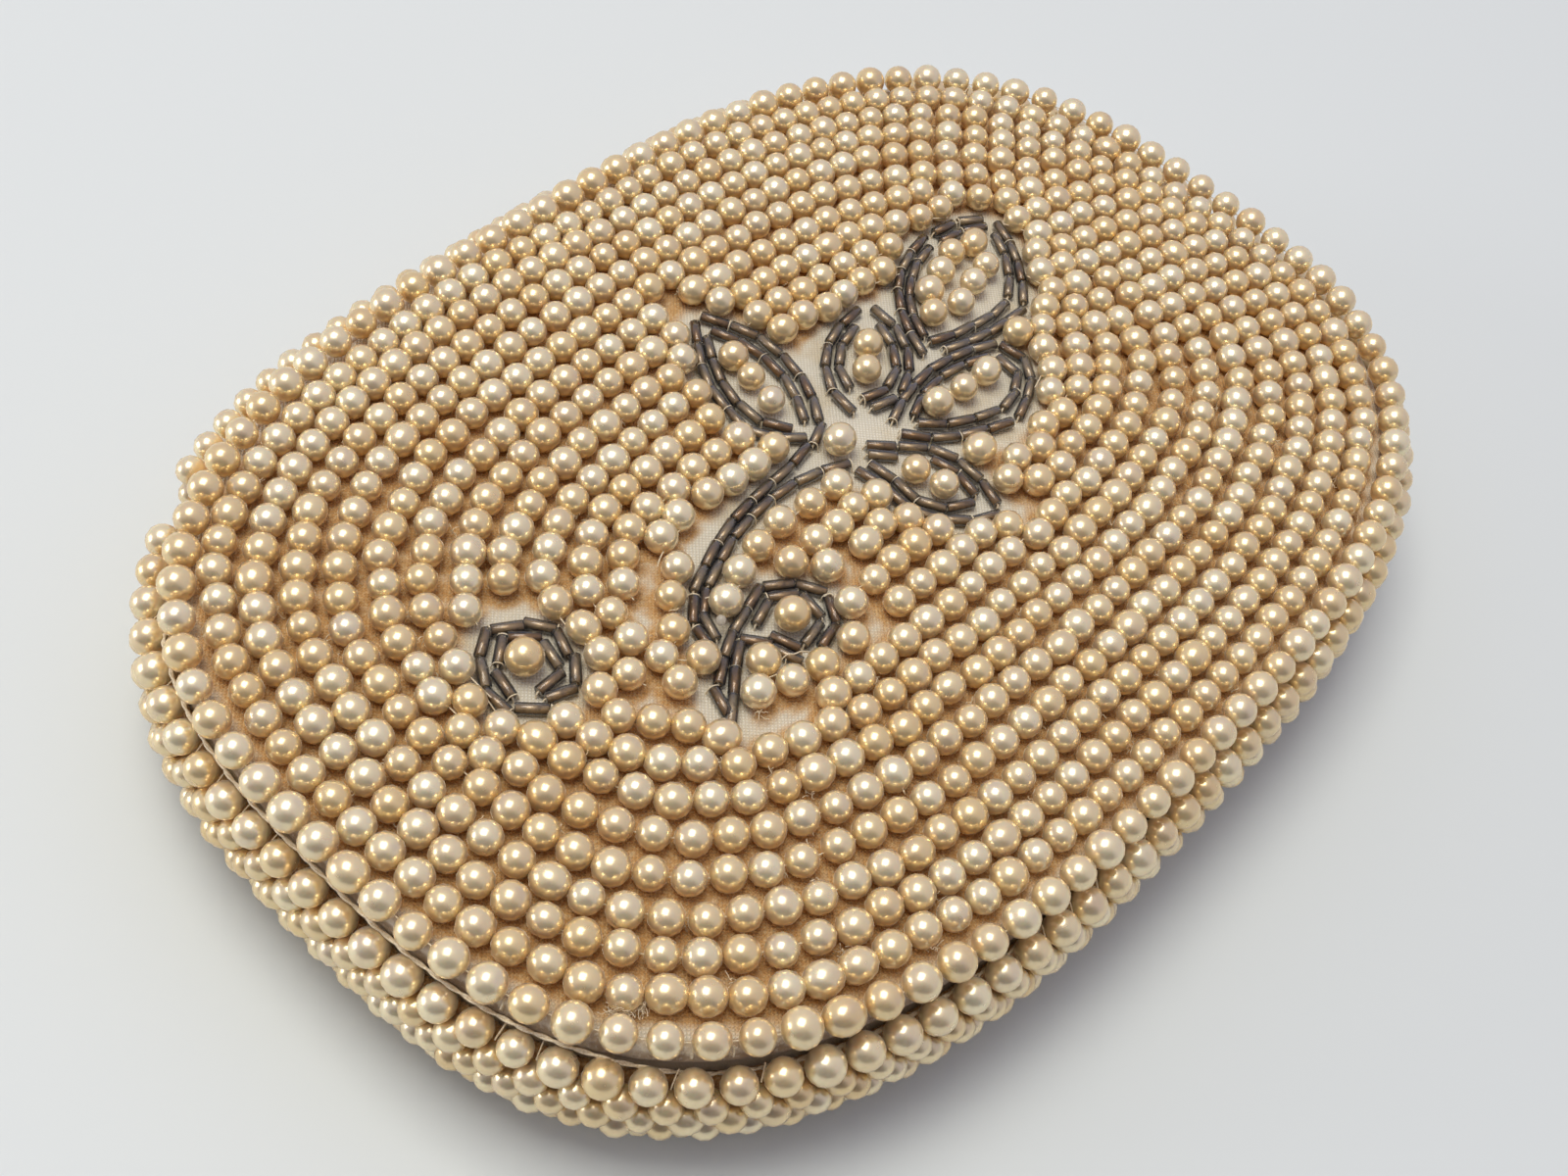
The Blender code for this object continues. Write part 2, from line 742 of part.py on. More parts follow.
def make_pocket(materials):
    """The satin pocket, closed all round but for the mouth under the fold."""
    outer = bowl_profile(LINING_DEPTH, LINING_TOP)
    pocket = loft("lining_pocket", [ring(*point) for point in outer], materials["satin"])
    inner = bowl_profile(POCKET_FLOOR, POCKET_ROOF)
    hollow = loft("pocket_hollow", [ring(*point) for point in inner], materials["board"])
    mouth_outline = clipped(inner[-1][0] - SEAT, MOUTH_Y, True)
    mouth_base = POCKET_ROOF - OVERRUN / 2
    mouth_top = LINING_TOP + OVERRUN
    mouth = prism("pocket_mouth", mouth_outline, mouth_base, mouth_top, materials["board"])
    cut(pocket, hollow)
    cut(pocket, mouth)


def make_rim(materials):
    """The pearl edging of the seam, and the twisted thread that binds it."""
    centres = row_around(RIM_REACH, RIM_Z, EDGE_PITCH)
    pearl_string("rim_pearls", centres, EDGE_RADIUS, materials["pearl"])

    thread_z = BODY_TOP + SEAT + THREAD_RADIUS
    thread_reach = WALL_REACH - COVER_THICKNESS / 3
    path = row_around(thread_reach, thread_z, THREAD_STEP)
    radii = [THREAD_RADIUS] * len(path)
    tube("rim_thread", path, radii, PEARL_SIDES, materials["thread"])


def make_flap(materials, hinge):
    """The domed flap: a hemmed cover over its board, and a satin lining."""
    cover_top = plate_rings(HEM_REACH - HEM_ROUND, FLAP_TOP)
    cover_under = plate_rings(HEM_REACH - HEM_THICKNESS, FLAP_COVER_BASE, reverse=True)
    hem = [
        ring(HEM_REACH, FLAP_TOP - HEM_ROUND),
        ring(HEM_REACH, FLAP_BASE),
        ring(HEM_REACH - HEM_THICKNESS, FLAP_BASE),
    ]
    loft("flap_cover", cover_top + hem + cover_under, materials["ground_cloth"], hinge)

    inner_edge = HEM_REACH - HEM_THICKNESS - SEAT
    layers = (
        ("flap_board", FLAP_BOARD_BASE, BOARD_THICKNESS, "board"),
        ("flap_lining", FLAP_BASE, LINING_THICKNESS, "satin"),
    )
    for name, base, thickness, layer in layers:
        top = plate_rings(inner_edge, base + thickness)
        under = plate_rings(inner_edge, base, reverse=True)
        loft(name, top + under, materials[layer], hinge)


def make_beading(materials, hinge):
    """Edge row, field and flower spray on the flap."""
    spots = [spot for spot, _ in walk(outline(0, PATH_STEPS), EDGE_PITCH)]
    edge = [Vector((spot.x, spot.y, EDGE_PEARL_Z)) for spot in spots]
    pearl = materials["pearl"]
    pearl_string("flap_edge_pearls", edge, EDGE_RADIUS, pearl, hinge, closed=True)

    pearls = spray_pearls()
    strings = sew_strings(pearls)
    make_field(materials, hinge, pearls, [run for _, runs in strings for run in runs])
    for name, runs in strings:
        make_bugle_string(name, runs, materials["bugle_glass"], hinge)
    for number, places in enumerate(LEAF_PEARL_SHARES, 1):
        centres = [on_net(spray_point(shares), PEARL_RADIUS) for shares in places]
        pearl_string(f"leaf_{number}_pearls", centres, PEARL_RADIUS, pearl, hinge)
    radius = HEART_PEARL_DIAMETER / 2
    for name, shares in HEART_SHARES:
        centre = on_net(spray_point(shares), radius)
        bm = bmesh.new()
        bmesh.ops.create_uvsphere(bm, u_segments=8, v_segments=4, radius=radius)
        bmesh.ops.translate(bm, verts=bm.verts, vec=centre)
        place(name, bm, pearl, hinge)


def on_net(spot, radius):
    """The centre of a bead that lies on the net at a spot."""
    height = FLAP_TOP + dome(inset_at(*spot)) + NET_THICKNESS + SEAT * 2 + radius
    return Vector((spot.x, spot.y, height))


def make_bugle_string(name, runs, material, hinge):
    """Bugles on one thread: the string is thick along each bugle and thin between two."""
    points = []
    radii = []
    for index, run in enumerate(runs):
        if index:
            middle = (runs[index - 1][1] + run[0]) / 2
            points.append(on_net(middle, BUGLE_RADIUS))
            radii.append(STRING_RADIUS)
        for end in run:
            points.append(on_net(end, BUGLE_RADIUS))
            radii.append(BUGLE_RADIUS)
    tube(name, points, radii, BUGLE_SIDES, material, hinge)


def make_snap(materials, hinge):
    """The sewn press stud: socket on the front panel, stud on the flap's lining."""
    socket_base = BODY_TOP + SEAT
    socket_top = socket_base + SOCKET_HEIGHT
    groove_low = socket_base + SOCKET_HEIGHT / 4
    groove_high = socket_top - SOCKET_HEIGHT / 4
    socket = (
        (SOCKET_BORE_RADIUS, socket_base),
        (SOCKET_RADIUS, socket_base),
        (SOCKET_RADIUS, socket_base + SOCKET_HEIGHT / 3),
        (SOCKET_GROOVE_RADIUS + SOCKET_HEIGHT, socket_base + SOCKET_HEIGHT / 3),
        (SOCKET_GROOVE_RADIUS + SOCKET_HEIGHT / 2, socket_top),
        (SOCKET_BORE_RADIUS, socket_top),
        (SOCKET_BORE_RADIUS, groove_high),
        (SOCKET_GROOVE_RADIUS, groove_high),
        (SOCKET_GROOVE_RADIUS, groove_low),
        (SOCKET_BORE_RADIUS, groove_low),
    )
    centre = (0, STUD_Y, 0)
    revolve("snap_socket", socket, centre, materials["snap_metal"])

    spring_z = (groove_low + groove_high) / 2
    wire = []
    for step in range(ROUND_STEPS + 1):
        turn = SPRING_GAP_TURN / 2 + (math.tau - SPRING_GAP_TURN) * step / ROUND_STEPS
        x = SPRING_RADIUS * math.cos(turn)
        y = STUD_Y + SPRING_RADIUS * math.sin(turn)
        wire.append(Vector((x, y, spring_z)))
    radii = [SPRING_WIRE_RADIUS] * len(wire)
    tube("snap_spring", wire, radii, PEARL_SIDES, materials["snap_metal"])

    flange_top = FLAP_BASE + dome(-STUD_INSET) - SEAT
    flange_base = flange_top - STUD_FLANGE_THICKNESS
    ball_base = socket_base + SEAT
    ball_middle = (ball_base + flange_base) / 2
    stud = (
        (0, ball_base),
        (STUD_BALL_RADIUS * 2 / 3, ball_base),
        (STUD_BALL_RADIUS, ball_middle),
        (STUD_NECK_RADIUS, flange_base),
        (STUD_FLANGE_RADIUS, flange_base),
        (STUD_FLANGE_RADIUS, flange_top),
        (0, flange_top),
    )
    bm = bmesh.new()
    verts = [bm.verts.new((radius, 0, height)) for radius, height in stud]
    edges = [bm.edges.new(pair) for pair in zip(verts, verts[1:])]
    bmesh.ops.spin(
        bm,
        geom=verts + edges,
        axis=(0, 0, 1),
        cent=(0, 0, 0),
        angle=math.tau,
        steps=ROUND_STEPS,
        use_merge=True,
    )
    bmesh.ops.remove_doubles(bm, verts=bm.verts, dist=SEAT / 10)
    bmesh.ops.translate(bm, verts=bm.verts, vec=centre)
    place("snap_stud", bm, materials["snap_metal"], hinge)


def main():
    """Clear the file and build the bag, body first and flap second."""
    for thing in list(bpy.data.objects):
        bpy.data.objects.remove(thing)
    materials = {name: make_material(name) for name in LAYER_COLOURS}
    hinge = bpy.data.objects.new("flap_hinge", None)
    hinge.location = HINGE_PLACE
    bpy.context.collection.objects.link(hinge)
    make_back(materials)
    make_fold(materials)
    make_front(materials)
    make_pocket(materials)
    make_rim(materials)
    make_flap(materials, hinge)
    make_beading(materials, hinge)
    make_snap(materials, hinge)


main()
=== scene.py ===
"""Looks of the beaded evening clutch: every pearl, bugle bead, thread and cloth of the bag.

Lengths are in metres. The bag lies on its back, +Y points to the fold that carries the flap.
"""

import math
import random

import bmesh
import bpy
from mathutils import Matrix, Vector
from mathutils.kdtree import KDTree


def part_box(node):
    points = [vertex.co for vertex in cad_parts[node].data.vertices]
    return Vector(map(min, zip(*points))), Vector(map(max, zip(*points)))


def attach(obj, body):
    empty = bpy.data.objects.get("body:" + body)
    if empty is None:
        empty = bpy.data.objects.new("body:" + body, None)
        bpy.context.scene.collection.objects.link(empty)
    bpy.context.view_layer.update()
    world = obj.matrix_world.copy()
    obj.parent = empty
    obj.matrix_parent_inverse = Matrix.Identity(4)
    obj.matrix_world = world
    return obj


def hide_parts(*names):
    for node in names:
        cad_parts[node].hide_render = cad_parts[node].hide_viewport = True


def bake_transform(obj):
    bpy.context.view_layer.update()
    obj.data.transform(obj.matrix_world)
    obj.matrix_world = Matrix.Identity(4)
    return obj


MM = 0.001
UP = Vector((0, 0, 1))

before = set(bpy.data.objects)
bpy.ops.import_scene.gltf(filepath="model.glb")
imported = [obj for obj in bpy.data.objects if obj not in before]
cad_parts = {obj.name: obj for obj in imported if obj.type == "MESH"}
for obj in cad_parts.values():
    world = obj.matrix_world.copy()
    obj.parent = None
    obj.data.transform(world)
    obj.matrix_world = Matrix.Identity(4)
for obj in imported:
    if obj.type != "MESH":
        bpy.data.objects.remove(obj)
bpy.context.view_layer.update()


# Levels and sizes, read from the frame
def span(node, axis):
    """How far a node reaches along one axis."""
    low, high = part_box(node)
    return high[axis] - low[axis]


edge_low, edge_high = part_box("flap_edge_pearls")
EDGE_RADIUS = span("flap_edge_pearls", 2) / 2
PEARL_RADIUS = span("fold_low_pearls", 2) / 2
HALF_LENGTH = edge_high.x - EDGE_RADIUS
HALF_WIDTH = edge_high.y - EDGE_RADIUS
EDGE_Z = edge_low.z + EDGE_RADIUS
RIM_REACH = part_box("rim_pearls")[1].x - EDGE_RADIUS - HALF_LENGTH
RIM_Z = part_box("rim_pearls")[0].z + EDGE_RADIUS
NOTCH_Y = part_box("rim_pearls")[1].y - EDGE_RADIUS
BODY_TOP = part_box("front_cover")[1].z
MOUTH_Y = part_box("front_cover")[1].y
PANEL_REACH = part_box("front_cover")[1].x - HALF_LENGTH
FLAP_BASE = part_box("flap_cover")[0].z
WALL_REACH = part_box("back_cover")[1].x - HALF_LENGTH
HEM_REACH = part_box("flap_cover")[1].x - HALF_LENGTH
COVER_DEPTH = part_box("back_cover")[0].z
LINING_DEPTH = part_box("lining_pocket")[0].z
LINING_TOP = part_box("lining_pocket")[1].z
FAR_WALL_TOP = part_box("fold_cloth")[0].z
SOCKET_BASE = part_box("snap_socket")[0].z
STUD_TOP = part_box("snap_stud")[1].z
SOCKET_RADIUS = span("snap_socket", 0) / 2
STUD_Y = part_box("snap_socket")[0].y + SOCKET_RADIUS

# Sizes that the frame doesn't state
OUTLINE_POWER = 2.9
OUTLINE_STEPS = 360
SEAT = 0.3 * MM
FLAP_TOP = EDGE_Z - EDGE_RADIUS - SEAT
DOME_RISE = 1.2 * MM
PEARL_PITCH = 4.42 * MM
FIELD_RADIUS = 2.2 * MM
ROW_PITCH = 4.4 * MM
FIELD_INSETS = (3.6, 7.8, 12.1, 16.5, 21.0, 25.5, 30.0, 34.5, 39.0, 43.5, 48.0, 52.5, 57.0)
EDGE_PITCH = 4.95 * MM
CORNER_INSET = -8.0 * MM
CORNER_RUN = 10.0 * MM
CORNER_RISE = 9.0 * MM
HEART_RADIUS = 2.45 * MM
BUGLE_LENGTH = 4.1 * MM
BUGLE_RADIUS = 0.8 * MM
BUGLE_BORE = 0.3 * MM
LINING_RADIUS = 0.5 * MM
BUGLE_STEP = 4.4 * MM
BUGLE_CLEARANCE = FIELD_RADIUS + BUGLE_RADIUS
CLOTH_THICKNESS = 0.8 * MM
SATIN_THICKNESS = 0.6 * MM
POCKET_FLOOR = LINING_DEPTH + SATIN_THICKNESS
POCKET_ROOF = LINING_TOP - SATIN_THICKNESS
POCKET_LIP = 0.15 * MM
HEM_ROUND = 1.2 * MM
HEM_TUCK = 0.45 * MM
HEM_EDGE = HEM_REACH - HEM_TUCK
HEM_STEPS = 6
HEM_LIP = 0.3 * MM
HEM_BULGE = 0.15 * MM
HEM_WIDTH = 4.5 * MM
HEM_DISC_INSET = 5.0 * MM
HEM_STITCH_INSET = 4.7 * MM
FLAP_SATIN_INSET = 4.4 * MM
CLOTH_INSETS = [index * 0.96 * MM for index in range(1, 61)]
EDGE_SHIFT = 1.05 * MM
SEAM_REACH = RIM_REACH - 0.8 * MM
WALL_PITCH = 3.15 * MM
RIM_DROP = 3.4 * MM

# Routes of the bugle rows in the flower spray, in millimetres on the flap, sewn end to end
BUGLE_ROUTES = {
    "leaf_1_bugles": (
        ((-1.7, 5.9), (-5.0, 8.5), (-7.1, 12.5), (-6.4, 16.3), (-5.2, 20.5), (-2.2, 25.4), (2.4, 30.6)),
        ((1.8, 6.7), (4.9, 10.8), (6.7, 15.1), (7.3, 19.4), (7.2, 23.7), (5.6, 27.7), (3.8, 31.0)),
        ((-2.0, 8.1), (-4.3, 11.7), (-4.6, 15.3), (-3.2, 20.2), (-0.9, 24.2), (1.5, 27.6)),
        ((0.3, 8.2), (3.0, 11.9), (4.4, 16.1), (4.9, 20.8), (4.3, 25.1), (3.0, 28.1)),
    ),
    "leaf_2_bugles": (
        ((6.9, 4.6), (7.8, 9.6), (10.4, 13.1), (14.2, 15.7), (18.7, 17.1), (23.2, 17.4)),
        ((15.0, 2.8), (19.6, 4.9), (22.8, 8.3), (24.7, 12.5), (25.0, 16.6)),
        ((9.8, 8.0), (11.9, 11.8), (15.7, 14.4), (20.0, 15.4)),
        ((14.2, 4.7), (18.5, 6.5), (21.4, 9.8), (23.0, 13.7)),
        ((14.0, 2.8), (9.2, 3.6)),
        ((14.0, 4.6), (9.7, 5.6)),
    ),
    "leaf_3_bugles": (
        ((23.4, 5.5), (25.7, 10.2), (28.7, 14.4), (32.8, 17.9), (38.1, 20.2), (43.3, 21.2)),
        ((26.5, 7.8), (28.8, 12.2), (32.7, 15.7), (37.1, 18.0), (41.9, 19.2)),
        ((44.5, 21.0), (49.5, 20.3), (54.4, 18.2)),
        ((44.0, 19.0), (48.7, 18.5), (53.0, 16.6)),
        ((54.9, 16.4), (52.6, 11.5), (48.5, 6.7), (44.0, 2.6)),
        ((52.6, 15.1), (50.1, 10.9), (46.2, 7.1), (43.0, 4.9)),
        ((42.8, 1.9), (36.1, 2.0), (30.5, 3.0), (26.8, 4.1)),
        ((41.9, 4.4), (36.7, 4.2), (31.2, 5.1), (26.2, 6.5)),
    ),
    "leaf_4_bugles": (
        ((10.2, 0.3), (16.2, 2.4), (22.8, 3.0), (28.4, 2.1), (33.6, 0.2)),
        ((12.7, -1.2), (17.2, 0.5), (22.2, 1.2), (26.7, 0.5), (31.2, -0.9)),
        ((34.4, -0.4), (34.5, -4.6), (31.3, -8.3), (25.0, -10.8)),
        ((31.9, -1.9), (31.9, -4.7), (29.4, -7.2), (24.6, -8.4)),
        ((23.8, -8.2), (19.5, -6.9), (15.3, -4.8), (12.3, -2.2)),
        ((23.5, -10.9), (19.7, -9.4), (14.7, -7.3), (11.2, -4.6), (8.9, -2.0)),
    ),
    "leaf_5_bugles": (
        ((3.5, -0.2), (6.5, -2.7), (9.9, -5.7), (11.8, -10.2), (11.3, -14.9), (9.7, -18.8)),
        ((2.7, -1.6), (5.3, -4.2)),
        ((8.9, -7.7), (9.9, -11.0), (8.6, -15.7)),
        ((-0.8, -2.1), (0.0, -6.4), (-0.5, -10.7), (1.5, -15.0), (4.7, -18.2), (8.9, -20.0)),
        ((1.5, -2.7), (2.0, -6.3), (1.5, -10.7), (3.5, -14.3), (7.5, -16.3)),
    ),
    "stem_bugles": (
        ((-2.5, 4.9), (-7.9, 3.8), (-13.0, 3.6), (-18.7, 2.9), (-23.7, 1.6), (-28.5, -0.1), (-32.4, -2.0)),
        ((-32.7, -2.2), (-35.0, -4.0), (-36.6, -6.9), (-37.1, -10.3)),
        ((-0.5, -0.9), (-4.3, 0.6), (-9.2, 1.6), (-14.6, 1.8), (-20.4, 1.0), (-24.9, -0.3), (-30.4, -2.7)),
        ((-30.9, -2.9), (-33.8, -5.0), (-35.5, -8.7)),
        ((1.9, 6.1), (-2.1, 4.5)),
    ),
    "curl_bugles": (
        ((-25.3, -6.9), (-29.1, -8.2), (-33.1, -9.4), (-36.6, -11.2), (-40.1, -13.5)),
        ((-41.0, -13.7), (-42.3, -17.1)),
        ((-26.1, -9.2), (-30.1, -10.5)),
        ((-33.6, -11.1), (-36.8, -13.3), (-39.9, -15.8), (-43.0, -18.2)),
        ((-25.0, -7.1), (-21.5, -9.4)),
        ((-21.3, -9.6), (-19.5, -13.1)),
        ((-19.9, -13.7), (-21.9, -17.1)),
        ((-22.6, -17.2), (-26.2, -18.2)),
        ((-25.7, -8.8), (-22.4, -10.7)),
        ((-22.0, -11.4), (-23.0, -15.1)),
        ((-23.7, -15.6), (-27.7, -16.7)),
        ((-29.8, -13.0), (-28.6, -16.4)),
        ((-31.0, -14.5), (-30.0, -17.9)),
        ((-32.7, -11.2), (-31.1, -13.2)),
    ),
    "ringlet_bugles": (
        ((-55.3, 10.7), (-58.6, 8.3)),
        ((-58.8, 8.0), (-61.1, 4.6)),
        ((-61.4, 4.3), (-61.5, 0.3)),
        ((-60.5, 0.3), (-57.6, -2.5)),
        ((-57.0, -1.2), (-53.1, -2.4)),
        ((-52.9, -2.0), (-50.0, 0.9)),
        ((-50.7, 1.3), (-49.2, 5.1)),
        ((-49.1, 5.4), (-51.2, 8.4)),
        ((-51.6, 8.4), (-55.0, 10.1)),
        ((-54.5, 8.6), (-57.9, 6.0)),
        ((-58.7, 5.6), (-59.6, 1.6)),
        ((-51.6, 4.9), (-52.6, 1.0)),
        ((-52.9, 0.2), (-56.9, 0.1)),
        ((-54.2, 8.2), (-51.2, 5.6)),
    ),
}

# Pearls inside the spray, in millimetres on the flap
LEAF_PEARLS = {
    "leaf_1_pearls": ((0.8, 22.0), (-0.1, 17.8), (-1.2, 13.1)),
    "leaf_2_pearls": ((17.7, 11.5), (13.7, 8.4)),
    "leaf_3_pearls": (
        (47.1, 15.1),
        (42.6, 15.9),
        (44.6, 10.8),
        (38.1, 14.4),
        (40.2, 9.8),
        (33.4, 12.8),
        (35.3, 8.3),
        (30.2, 9.5),
    ),
    "leaf_4_pearls": ((16.9, -2.1), (22.0, -2.7), (27.2, -2.8)),
    "leaf_5_pearls": ((4.8, -7.9), (5.8, -12.1)),
    "spray_heart_pearl": ((0.4, 2.1),),
    "ringlet_heart_pearl": ((-55.5, 4.1),),
    "curl_heart_pearl": ((-26.3, -13.0),),
}

# Field pearls that lie close to the spray, in millimetres on the flap
NEAR_PEARLS = (
    (-26.2, -4.0),
    (-30.9, -6.0),
    (-39.3, -10.0),
    (-34.0, -15.1),
    (-5.7, -2.7),
    (-10.9, -2.5),
    (-16.3, -2.0),
    (-21.4, -2.8),
    (-20.1, -7.3),
    (-16.9, -10.8),
    (-33.5, -19.5),
    (-28.9, -20.4),
    (-31.8, 1.5),
    (-35.7, -1.0),
    (-39.2, -4.8),
    (-19.0, -16.6),
    (-37.9, -17.8),
    (-44.0, -10.6),
)

# Bare cloth round the spray: centre and radius of each patch, in millimetres
BARE_PATCHES = (
    ((2.8, 4.8), 7.0),
    ((9.3, 15.0), 4.6),
    ((24.9, 1.7), 2.6),
    ((2.3, 33.6), 2.4),
    ((-59.2, -1.8), 2.6),
    ((27.6, -12.5), 1.5),
    ((-42.5, -18.4), 1.6),
    ((-27.2, 3.2), 1.6),
    ((10.3, -21.0), 1.6),
)

# Loose ends of sewing thread on the flap: x, y in millimetres and height above the cloth
LOOSE_ENDS = (
    ((-62.2, 6.2, 0.9), (-62.5, 4.7, 1.3), (-62.2, 3.2, 1.2), (-62.4, 1.6, 0.9), (-62.2, 0.0, 0.5)),
    ((-61.8, 6.0, 0.6), (-61.9, 4.5, 1.0), (-61.7, 2.9, 0.9), (-62.0, 1.3, 0.6), (-61.9, -0.1, 0.4)),
    ((-32.1, -16.4, 1.6), (-31.3, -16.6, 2.3), (-30.5, -17.1, 2.2), (-29.4, -17.3, 1.9), (-28.4, -17.8, 1.4)),
    ((-41.4, -9.0, 0.4), (-42.0, -9.6, 1.4), (-41.7, -10.4, 1.8), (-41.0, -10.9, 1.2), (-40.8, -10.4, 0.4)),
)

# Lint caught on the flap's edge, in millimetres
LINT = ((-78.9, -34.6), (-77.5, -35.2), (-76.1, -35.9))

# Drop of clear glue on the curl, in millimetres
GLUE_DROP = (-33.7, -7.7)

# How the field's pearls settle, in shares of their room, and where holes are filled, in millimetres
PUSH_ROUNDS = 14
NEAR_BUGLE_SHARE = 2.5
BUGLE_ROOM_SHARE = 0.93
SEWN_ROOM_SHARE = 1.85
FIELD_ROOM_SHARE = 1.72
HOLE_BUGLE_SHARE = 0.97
HOLE_PEARL_SHARE = 1.93
HOLE_TRIES = 9000
HOLES_X = (-74, 64)
HOLES_Y = (-34, 42)

# How much pearls differ: in size, in length, and how often one is long
SIZE_SPREAD = 0.036
STRETCH_SPREAD = 0.03
LONG_PEARL_STRETCH = 1.14
LONG_PEARL_CHANCE = 0.05
SPOT_SPREAD = 0.2

# Where the flap's cloth has no painted shade beside the spray, and painted warm amber shade beside the pearls
UNSHADED_REACH = 1.8 * MM
UNSHADED_FADE = 1.6 * MM
SHADE_REACH = 1.7 * MM
SHADE_FADE = 1.3 * MM

# Turned profiles of the press stud: radius and height in millimetres
SOCKET_PROFILE = (
    (0.2, 0.0), (4.75, 0.0), (4.95, 0.06), (5.0, 0.14), (4.94, 0.24), (4.7, 0.28), (3.5, 0.3),
    (3.2, 0.4), (3.0, 0.72), (2.8, 0.86), (2.5, 0.9), (2.15, 0.86), (1.95, 0.72), (1.9, 0.6),
    (2.35, 0.52), (2.35, 0.26), (1.9, 0.18), (0.2, 0.15),
)
STUD_PROFILE = (
    (0.2, 0.0), (4.4, 0.0), (4.55, -0.06), (4.6, -0.14), (4.52, -0.24), (4.2, -0.28), (3.2, -0.3),
    (2.7, -0.4), (2.3, -0.62), (1.9, -0.68), (1.1, -0.7), (0.92, -0.78), (0.9, -0.9), (1.0, -1.0),
    (1.18, -1.14), (1.2, -1.28), (1.08, -1.44), (0.8, -1.55), (0.2, -1.58),
)
SPRING_RADIUS = 2.0 * MM
SPRING_WIRE_RADIUS = 0.2 * MM
SPRING_RISE = 0.42 * MM

# Threads
STITCH_RADIUS = 0.13 * MM
LINING_STITCH_RADIUS = 0.12 * MM
CROSSING_RADIUS = 0.09 * MM
PLAIN_END_CHANCE = 0.78
FINE_THREAD_RADIUS = 0.1 * MM
PLY_RADIUS = 0.16 * MM
PLY_STEP = 0.5 * MM
LIFT_START = 75 * MM
LIFT_RUN = 9 * MM
LIFT_RISE = 3.0
LASHING_PATH = ((-1.35, 0.1), (-1.2, 0.42), (-0.5, 0.44), (0.12, 0.3), (0.45, -0.1))

# Lamps: name, direction seen from the bag, distance, size, watts and colour
LAMPS = (
    ("sky_window", (-0.1, 0.22, 0.96), 1.5, (0.9, 0.75), 13.2, (1.0, 0.987, 0.905)),
    ("side_window", (-0.66, 0.70, 0.17), 1.6, (0.65, 0.55), 6.0, (0.97, 0.98, 1.0)),
    ("ceiling", (0.1, 0.25, 1.0), 1.9, (2.6, 2.2), 2.0, (0.98, 0.99, 1.0)),
)
DIM_DIRECTION = (-0.78, -0.62, 0.05)
ROOM_COLOUR = (0.765, 0.75, 0.915, 1)

# Camera: its place in metres, its three axes, and its lens in millimetres
CAMERA_PLACE = (-0.15212, -0.08046, 0.20866)
CAMERA_RIGHT = (0.6555, -0.73483, 0.17419)
CAMERA_UP = (0.52085, 0.60692, 0.60029)
CAMERA_BACK = (-0.54683, -0.30275, 0.78058)
CAMERA_LENS = 43.0
SENSOR_WIDTH = 36


class Field:
    """A shader socket that adds its own Math nodes when it is used in arithmetic."""

    def __init__(self, paint, socket):
        self.paint = paint
        self.socket = socket

    def join(self, operation, first, second=None):
        """One Math node on two values or fields."""
        values = {0: first}
        if second is not None:
            values[1] = second
        return self.paint.node("ShaderNodeMath", {"operation": operation}, values)

    def __add__(self, other):
        return self.join("ADD", self, other)

    def __radd__(self, other):
        return self.join("ADD", other, self)

    def __sub__(self, other):
        return self.join("SUBTRACT", self, other)

    def __rsub__(self, other):
        return self.join("SUBTRACT", other, self)

    def __mul__(self, other):
        return self.join("MULTIPLY", self, other)

    def __rmul__(self, other):
        return self.join("MULTIPLY", other, self)

    def sine(self):
        """Sine of the field."""
        return self.join("SINE", self)

    def absolute(self):
        """The field without its sign."""
        return self.join("ABSOLUTE", self)

    def most(self, other):
        """The larger of two."""
        return self.join("MAXIMUM", self, other)

    def ramp(self, low, high):
        """0 below low, 1 above high, smooth between."""
        settings = {"interpolation_type": "SMOOTHSTEP"}
        values = {"Value": self, "From Min": low, "From Max": high}
        return self.paint.node("ShaderNodeMapRange", settings, values)


